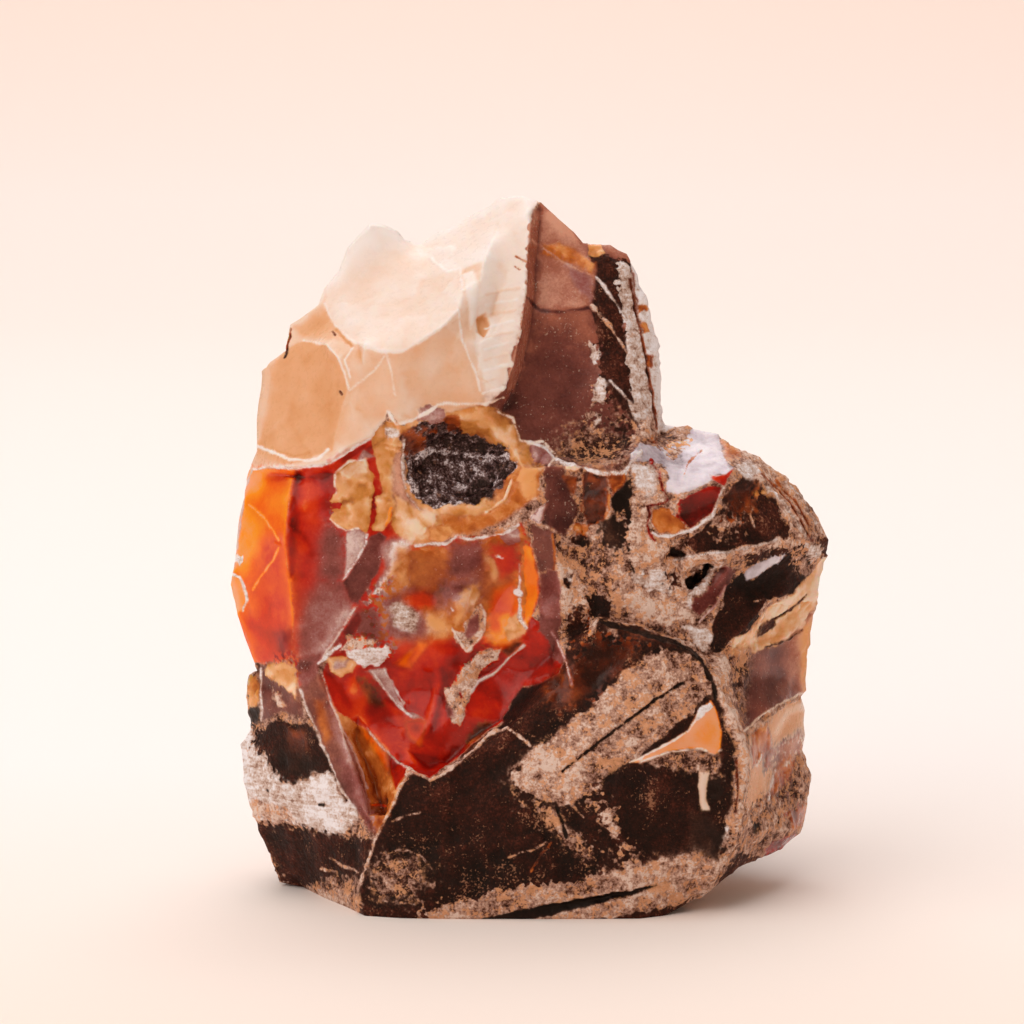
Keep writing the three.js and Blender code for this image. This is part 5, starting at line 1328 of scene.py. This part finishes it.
def make_fine_skin(settings):
    """The welded, cut and smoothed skin, and how much each point faces the camera."""
    front, border, thin, hidden, step = (edge / MM for edge in (
        settings.front_edge, settings.border_edge, settings.line_edge, settings.hidden_edge,
        settings.step_edge))
    points, faces = read_solid()
    crests = crest_edges(points, faces)

    def even(places, shown):
        return np.full(len(places), FIRST_EDGE)

    def by_view(places, shown):
        return hidden + (front - hidden) * shown

    def by_border(places, shown):
        coat = paint_front(places)
        near = border + (front - border) * smooth_step(coat.border, *BORDER_BAND)
        near = thin + (near - thin) * smooth_step(coat.line, *LINE_BAND)
        far = step + (hidden - step) * smooth_step(Fragments(places).to_border(), *STEP_BAND)
        return far + (near - far) * shown

    for limit_of, rounds in ((even, 5), (by_view, 3), (by_border, 1)):
        points, faces = cut_until_fine(points, faces, crests, limit_of)
        points = smooth_skin(points, faces, crests, rounds)
    return points, faces, spread_out(facing_photo(points, faces), faces, FACING_BLUR)


def make_stone_mesh(settings):
    points, faces, facing = make_fine_skin(settings)
    fragments = Fragments(points)
    wrapped = fragments.own(fragments.centres[:, 1]) < WRAP_BACK
    share = np.maximum(smooth_step(facing, *FRAGMENT_SHOWN), wrapped)
    coat = blend_coats(paint_front(points), paint_hidden(points, fragments), share, facing)
    lift = relief_of(points, coat) * settings.relief
    lift *= smooth_step(points[:, 2], FOOT_LEVEL, FOOT_FADE)
    points = points + point_normals(points, faces) * lift[:, None]
    points[:, 2] = np.maximum(points[:, 2], 0)
    mesh = bpy.data.meshes.new("rough_fire_opal")
    mesh.from_pydata((points * MM).tolist(), [], faces.tolist())
    mesh.shade_smooth()
    for name in KINDS:
        add_values(mesh, name, coat.depth[name])
    add_values(mesh, "tone", coat.tone)
    add_values(mesh, "ragged", coat.ragged)
    add_values(mesh, "rim", coat.rim)
    # The tone rises where the skin stands out, for worn edges and as painted edge light, and falls in its
    # hollows as painted shade
    add_values(mesh, "worn_and_shaded", stand_out(points, faces, WEAR_SHADE_BLUR))
    return mesh


def add_values(mesh, name, values):
    layer = mesh.attributes.new(name, "FLOAT", "POINT")
    layer.data.foreach_set("value", values.astype(np.float32))


# Materials
def add_node(tree, kind, inputs=None, **settings):
    """Adds a node, sets its settings, and gives each input its value or the socket that feeds it."""
    node = tree.nodes.new(kind)
    for name, value in settings.items():
        setattr(node, name, value)
    for name, value in (inputs or {}).items():
        if isinstance(value, bpy.types.NodeSocket):
            tree.links.new(value, node.inputs[name])
        else:
            node.inputs[name].default_value = value
    return node


def add_attribute(tree, name):
    return add_node(tree, "ShaderNodeAttribute", attribute_name=name).outputs["Fac"]


def add_scaled(tree, vector, share):
    return add_node(tree, "ShaderNodeVectorMath", {0: vector, "Scale": share}, operation="SCALE").outputs[0]


def add_centred(tree, colour):
    """Moves a noise's colour so that it lies about zero."""
    return add_node(tree, "ShaderNodeVectorMath", {
        0: colour, 1: (0.5, 0.5, 0.5)}, operation="SUBTRACT").outputs[0]


def add_product(tree, first, second, added, kind="ShaderNodeMath"):
    """First times second, plus added."""
    return add_node(tree, kind, {0: first, 1: second, 2: added}, operation="MULTIPLY_ADD").outputs[0]


NOISE_SIZES = (6.0, 2.2, 0.8, 0.3)  # mm
NOISE_DETAILS = (2.0, 2.0, 2.0, 1.0)
NOISE_SHIFT = (13.7, 5.1, 9.3)  # mm from one noise to the next, so that they don't line up
FIBRE_STRETCH = (0.5, 0.5, 3.0)  # fibres lie level, 0.3 mm thick and 2 mm long
WANDER_SIZE = 0.7  # mm
GRAIN_SIZE = 1.6  # mm
GRAIN_ROUGHNESS = 0.75
GRAIN_HEIGHT = 0.6  # mm


def add_noises(tree, at):
    """The four noises, each as three channels about zero, and the fibres."""
    noises = []
    for i, (size, detail) in enumerate(zip(NOISE_SIZES, NOISE_DETAILS)):
        shift = tuple(i * step for step in NOISE_SHIFT)
        moved = add_node(tree, "ShaderNodeVectorMath", {0: at, 1: shift}, operation="ADD")
        texture = add_node(tree, "ShaderNodeTexNoise", {
            "Vector": moved.outputs[0], "Scale": 1 / size, "Detail": detail, "Roughness": 0.6})
        centred = add_centred(tree, texture.outputs["Color"])
        noises.append(add_node(tree, "ShaderNodeSeparateXYZ", {0: centred}).outputs)
    stretched = add_node(tree, "ShaderNodeVectorMath", {0: at, 1: FIBRE_STRETCH}, operation="MULTIPLY")
    texture = add_node(tree, "ShaderNodeTexNoise", {
        "Vector": stretched.outputs[0], "Scale": 1.0, "Detail": 1.0})
    fibres = add_node(tree, "ShaderNodeMath", {0: texture.outputs["Fac"], 1: 0.5}, operation="SUBTRACT")
    return noises, fibres.outputs[0]


def add_weighed(tree, channels, weights):
    """The sum of four channels, each times its weight."""
    joined = add_node(tree, "ShaderNodeCombineXYZ", dict(enumerate(channels[:3])))
    broad = add_node(tree, "ShaderNodeVectorMath", {
        0: joined.outputs[0], 1: weights[:3]}, operation="DOT_PRODUCT")
    return add_product(tree, channels[3], weights[3], broad.outputs["Value"])


def add_ramp(tree, along, stops):
    """A colour ramp with a stop for each place from 0 to 1 and its sRGB hex colour."""
    ramp = add_node(tree, "ShaderNodeValToRGB", {"Fac": along})
    elements = ramp.color_ramp.elements
    elements[0].color = linear(stops[0][1])
    elements[1].color = linear(stops[-1][1])
    for place, hex_colour in stops[1:-1]:
        elements.new(place).color = linear(hex_colour)
    return ramp.outputs["Color"]


def add_kind_colour(tree, kind, tone, noises, fibres):
    """One kind's colour: its ramp under the moved tone, with its flecks over it."""
    sway = add_weighed(tree, [channels[0] for channels in noises], kind.sway[:4])
    swayed = add_node(tree, "ShaderNodeMath", {0: sway, 1: tone}, operation="ADD").outputs[0]
    if kind.sway[4]:
        swayed = add_product(tree, fibres, kind.sway[4], swayed)
    last = len(kind.colours) - 1
    ramp = add_ramp(tree, swayed, [(k / last, hex_colour) for k, hex_colour in enumerate(kind.colours)])
    flecks = add_weighed(tree, [channels[1] for channels in noises], kind.fleck_at)
    share = add_node(tree, "ShaderNodeMapRange", {
        "Value": flecks, "From Min": kind.fleck_range[0], "From Max": kind.fleck_range[1],
        "To Max": kind.fleck_strength}, interpolation_type="SMOOTHSTEP")
    return add_node(tree, "ShaderNodeMix", {
        0: share.outputs[0], 6: ramp, 7: linear(kind.fleck)}, data_type="RGBA").outputs[2]


RIM_COLOUR = "dcc6ba"
RIM_RANGE = (0.9, 0.6)  # the rind starts and is full where the squares of the shares add up to this


def add_rims(tree, colour, share, square_sum):
    """A thin pale rind where two kinds meet: there the squares of their shares add up to a half."""
    scaled = add_node(tree, "ShaderNodeMath", {0: square_sum, 1: share}, operation="MULTIPLY").outputs[0]
    pure = add_node(tree, "ShaderNodeMath", {0: scaled, 1: share}, operation="MULTIPLY").outputs[0]
    rim = add_node(tree, "ShaderNodeMapRange", {
        "Value": pure, "From Min": RIM_RANGE[0], "From Max": RIM_RANGE[1],
        "To Max": add_attribute(tree, "rim")}, interpolation_type="SMOOTHSTEP")
    return add_node(tree, "ShaderNodeMix", {
        0: rim.outputs[0], 6: colour, 7: linear(RIM_COLOUR)}, data_type="RGBA").outputs[2]


def add_wander(tree, at):
    """A small shift for the borders between kinds, larger where they crumble."""
    texture = add_node(tree, "ShaderNodeTexNoise", {"Vector": at, "Scale": 1 / WANDER_SIZE, "Detail": 1.0})
    return add_scaled(tree, add_centred(tree, texture.outputs["Color"]), add_attribute(tree, "ragged"))


# How the relief moves the tone: painted shade in hollows; worn edges and painted edge light on ridges
WEAR_SHADE_HEIGHT = 0.2  # mm, the height or depth that changes the tone most
WEAR_SHADE_TONE = 0.26


def add_tone(tree, wear_and_shade):
    """The painted tone, lighter on worn edges with painted edge light, and darker in hollows as painted
    shade.
    """
    worn_and_shaded = add_node(tree, "ShaderNodeMapRange", {
        "Value": add_attribute(tree, "worn_and_shaded"), "From Min": -WEAR_SHADE_HEIGHT, "From Max": WEAR_SHADE_HEIGHT,
        "To Min": -WEAR_SHADE_TONE * wear_and_shade, "To Max": WEAR_SHADE_TONE * wear_and_shade})
    return add_node(tree, "ShaderNodeMath", {
        0: worn_and_shaded.outputs[0], 1: add_attribute(tree, "tone")}, operation="ADD").outputs[0]


LEAN = 3.0  # how far the wander moves a kind's border
LEAN_TURN = 2.4  # from one kind to the next, so that each kind's border goes its own way


def add_weight(tree, name, turn, wander):
    """How much one kind counts at each place."""
    lean = (LEAN * math.cos(turn), LEAN * math.sin(turn), LEAN * math.cos(turn * 1.7))
    drift = add_node(tree, "ShaderNodeVectorMath", {0: wander, 1: lean}, operation="DOT_PRODUCT")
    moved = add_node(tree, "ShaderNodeMath", {
        0: add_attribute(tree, name), 1: drift.outputs["Value"]}, operation="ADD")
    capped = add_node(tree, "ShaderNodeClamp", {"Value": moved.outputs[0], "Min": -DEEP, "Max": DEEP})
    sharp = add_node(tree, "ShaderNodeMath", {0: capped.outputs[0], 1: SHARPNESS}, operation="MULTIPLY")
    return add_node(tree, "ShaderNodeMath", {0: sharp.outputs[0]}, operation="EXPONENT").outputs[0]


def add_all_kinds(tree, at, tone, noises, fibres):
    """The kinds' colours, and their roughness, glow and grain, mixed by how much each kind counts."""
    wander = add_wander(tree, at)
    colour_sum, surface_sum, weight_sum, square_sum = (0.0, 0.0, 0.0), (0.0, 0.0, 0.0), 0.0, 0.0
    for i, (name, kind) in enumerate(KINDS.items()):
        weight = add_weight(tree, name, i * LEAN_TURN, wander)
        colour = add_kind_colour(tree, kind, tone, noises, fibres)
        surface = add_node(tree, "ShaderNodeCombineXYZ", {0: kind.rough, 1: kind.glow, 2: kind.bump})
        colour_sum = add_product(tree, colour, weight, colour_sum, "ShaderNodeVectorMath")
        surface_sum = add_product(tree, surface.outputs[0], weight, surface_sum, "ShaderNodeVectorMath")
        weight_sum = add_node(tree, "ShaderNodeMath", {0: weight, 1: weight_sum}, operation="ADD").outputs[0]
        square_sum = add_product(tree, weight, weight, square_sum)
    share = add_node(tree, "ShaderNodeMath", {0: 1.0, 1: weight_sum}, operation="DIVIDE").outputs[0]
    colour = add_rims(tree, add_scaled(tree, colour_sum, share), share, square_sum)
    surface = add_node(tree, "ShaderNodeSeparateXYZ", {0: add_scaled(tree, surface_sum, share)})
    return colour, surface.outputs


POLISH = 0.35  # the share of glossy coat on stone that glows fully
ROUGH_SWAY = 0.35
OPAL_SURFACE = {
    "Subsurface Radius": (1.0, 0.25, 0.1),
    "Subsurface Scale": 2.5 * MM,
    "IOR": 1.46,
    "Specular IOR Level": 0.3,
    "Coat Roughness": 0.14,
    "Specular Tint": linear("ffdcc8"),
}


def make_opal_material(settings):
    """Fire opal rough, broken by hand: glassy glowing opal, porcelain-like cap, dull crumbly matrix."""
    material = bpy.data.materials.new("fire_opal_rough")
    material.use_nodes = True
    tree = material.node_tree
    bsdf = tree.nodes["Principled BSDF"]
    place = add_node(tree, "ShaderNodeTexCoord").outputs["Object"]
    at = add_scaled(tree, place, 1 / MM)
    noises, fibres = add_noises(tree, at)
    tone = add_tone(tree, settings.wear_and_shade)
    colour, (rough, glow, grain_share) = add_all_kinds(tree, at, tone, noises, fibres)
    grain = add_node(tree, "ShaderNodeTexNoise", {
        "Vector": at, "Scale": 1 / GRAIN_SIZE, "Detail": 3.0, "Roughness": GRAIN_ROUGHNESS})
    bump = add_node(tree, "ShaderNodeBump", {
        "Height": grain.outputs["Fac"], "Strength": grain_share, "Distance": GRAIN_HEIGHT * MM})
    rough = add_node(tree, "ShaderNodeMath", {
        0: noises[2][1], 1: ROUGH_SWAY, 2: rough}, operation="MULTIPLY_ADD", use_clamp=True)
    polish = add_node(tree, "ShaderNodeMath", {0: glow, 1: POLISH}, operation="MULTIPLY", use_clamp=True)
    tree.links.new(colour, bsdf.inputs["Base Color"])
    tree.links.new(rough.outputs[0], bsdf.inputs["Roughness"])
    tree.links.new(glow, bsdf.inputs["Subsurface Weight"])
    tree.links.new(polish.outputs[0], bsdf.inputs["Coat Weight"])
    tree.links.new(bump.outputs[0], bsdf.inputs["Normal"])
    for name, value in OPAL_SURFACE.items():
        bsdf.inputs[name].default_value = value
    return material


# Colours of the paper along the floor, from the front towards the back in metres
PAPER_COLOURS = ((-0.08, "fef2e8"), (0.08, "fcfaf8"), (0.5, "faf6f2"), (1.1, "faf2ec"), (1.25, "fcebe0"))


def make_sweep_material():
    """Matt seamless paper, pale peach that lightens away from the stone."""
    material = bpy.data.materials.new("seamless_paper")
    material.use_nodes = True
    tree = material.node_tree
    bsdf = tree.nodes["Principled BSDF"]
    place = add_node(tree, "ShaderNodeTexCoord").outputs["Object"]
    split = add_node(tree, "ShaderNodeSeparateXYZ", {0: place})
    start, end = PAPER_COLOURS[0][0], PAPER_COLOURS[-1][0]
    along = add_node(tree, "ShaderNodeMapRange", {
        "Value": split.outputs["Y"], "From Min": start, "From Max": end})
    stops = [((y - start) / (end - start), hex_colour) for y, hex_colour in PAPER_COLOURS]
    tree.links.new(add_ramp(tree, along.outputs[0], stops), bsdf.inputs["Base Color"])
    bsdf.inputs["Roughness"].default_value = 0.7
    bsdf.inputs["Specular IOR Level"].default_value = 0.0
    return material


class OPAL_OT_stone(bpy.types.Operator):
    """Makes the stone's fine mesh over the solid and gives it its mineral surface"""

    bl_idname = "opal.stone"
    bl_label = "Rough fire opal"

    def execute(self, context):
        settings = context.scene.opal_stone
        mesh = make_stone_mesh(settings)
        mesh.materials.append(make_opal_material(settings))
        stone = bpy.data.objects.new("rough_fire_opal", mesh)
        context.scene.collection.objects.link(stone)
        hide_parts(NODE)
        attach(stone, BODY)
        return {"FINISHED"}


SWEEP_WIDTH = 6.0
SWEEP_FRONT = -3.0
SWEEP_BACK = 0.9
SWEEP_CURVE = 0.6
SWEEP_TOP = 2.0
SWEEP_STEPS = 24


class OPAL_OT_studio(bpy.types.Operator):
    """Makes the paper sweep, the soft lights and the camera"""

    bl_idname = "opal.studio"
    bl_label = "Studio"

    def execute(self, context):
        make_sweep(context)
        make_lights(context, context.scene.opal_studio)
        make_camera(context)
        return {"FINISHED"}


def make_sweep(context):
    profile = [(SWEEP_FRONT, 0.0), (0.0, 0.0), (SWEEP_BACK, 0.0)]
    for k in range(1, SWEEP_STEPS + 1):
        angle = math.pi / 2 * k / SWEEP_STEPS
        profile.append((SWEEP_BACK + SWEEP_CURVE * math.sin(angle), SWEEP_CURVE * (1 - math.cos(angle))))
    profile.append((SWEEP_BACK + SWEEP_CURVE, SWEEP_TOP))
    corners = [(side * SWEEP_WIDTH / 2, y, z) for y, z in profile for side in (-1, 1)]
    faces = [(2 * i, 2 * i + 1, 2 * i + 3, 2 * i + 2) for i in range(len(profile) - 1)]
    mesh = bpy.data.meshes.new("paper_sweep")
    mesh.from_pydata(corners, [], faces)
    mesh.shade_smooth()
    mesh.materials.append(make_sweep_material())
    sweep = bpy.data.objects.new("paper_sweep", mesh)
    context.scene.collection.objects.link(sweep)


# Each lamp's place and size in metres, its share of the key light's power, what it points at and its colour
Lamp = namedtuple("Lamp", "name place size share aim colour")
LAMPS = (
    Lamp("key", (-0.50, -0.30, 1.15), 1.4, 1.0, (0, 0, 0.045), "fbf9f7"),
    Lamp("front", (-0.95, -1.20, 0.62), 0.9, 0.5, (0, 0, 0.045), "f8faff"),
    Lamp("top", (0.10, 0.35, 1.30), 0.9, 0.42, (0, 0, 0.045), "f4f8ff"),
    Lamp("wall", (0.0, 1.15, 1.30), 1.2, 1.0, (0, 1.0, 0), "f8faff"),
)


AIR_COLOUR = "ffe1ce"
AIR_STRENGTH = 0.37


def make_lights(context, settings):
    for lamp in LAMPS:
        data = bpy.data.lights.new(lamp.name, "AREA")
        data.energy = settings.key_power * lamp.share
        data.size = lamp.size
        data.color = linear(lamp.colour)[:3]
        light = bpy.data.objects.new(lamp.name, data)
        light.location = lamp.place
        light.rotation_euler = (Vector(lamp.aim) - light.location).to_track_quat("-Z", "Y").to_euler()
        context.scene.collection.objects.link(light)
    world = bpy.data.worlds.new("studio_air")
    world.use_nodes = True
    background = world.node_tree.nodes["Background"]
    background.inputs["Color"].default_value = linear(AIR_COLOUR)
    background.inputs["Strength"].default_value = AIR_STRENGTH
    context.scene.world = world
    context.scene.view_settings.view_transform = "Standard"


def make_camera(context):
    eye, ahead = eye_place()
    data = bpy.data.cameras.new("photo_camera")
    data.sensor_width = SENSOR
    data.lens = SENSOR * VIEW_DISTANCE * PIXELS_PER_MM / PHOTO_SIZE
    camera = bpy.data.objects.new("photo_camera", data)
    camera.location = Vector(eye) * MM
    camera.rotation_euler = Vector(ahead).to_track_quat("-Z", "Y").to_euler()
    context.scene.collection.objects.link(camera)
    context.scene.camera = camera


class OPAL_PT_panel(bpy.types.Panel):
    """Lists the stone's and the studio's settings and buttons"""

    bl_label = "Fire opal"
    bl_space_type = "VIEW_3D"
    bl_region_type = "UI"
    bl_category = "Fire opal"

    def draw(self, context):
        for owner, button in (("opal_stone", "opal.stone"), ("opal_studio", "opal.studio")):
            box = self.layout.box()
            settings = getattr(context.scene, owner)
            for name in settings.__annotations__:
                box.prop(settings, name)
            box.operator(button)


CLASSES = (OpalStoneSettings, OpalStudioSettings, OPAL_OT_stone, OPAL_OT_studio, OPAL_PT_panel)


def register():
    for cls in CLASSES:
        bpy.utils.register_class(cls)
    bpy.types.Scene.opal_stone = PointerProperty(type=OpalStoneSettings)
    bpy.types.Scene.opal_studio = PointerProperty(type=OpalStudioSettings)


def unregister():
    del bpy.types.Scene.opal_stone
    del bpy.types.Scene.opal_studio
    for cls in reversed(CLASSES):
        bpy.utils.unregister_class(cls)


def main():
    register()
    bpy.ops.opal.stone()
    bpy.ops.opal.studio()


if __name__ == "__main__":
    main()
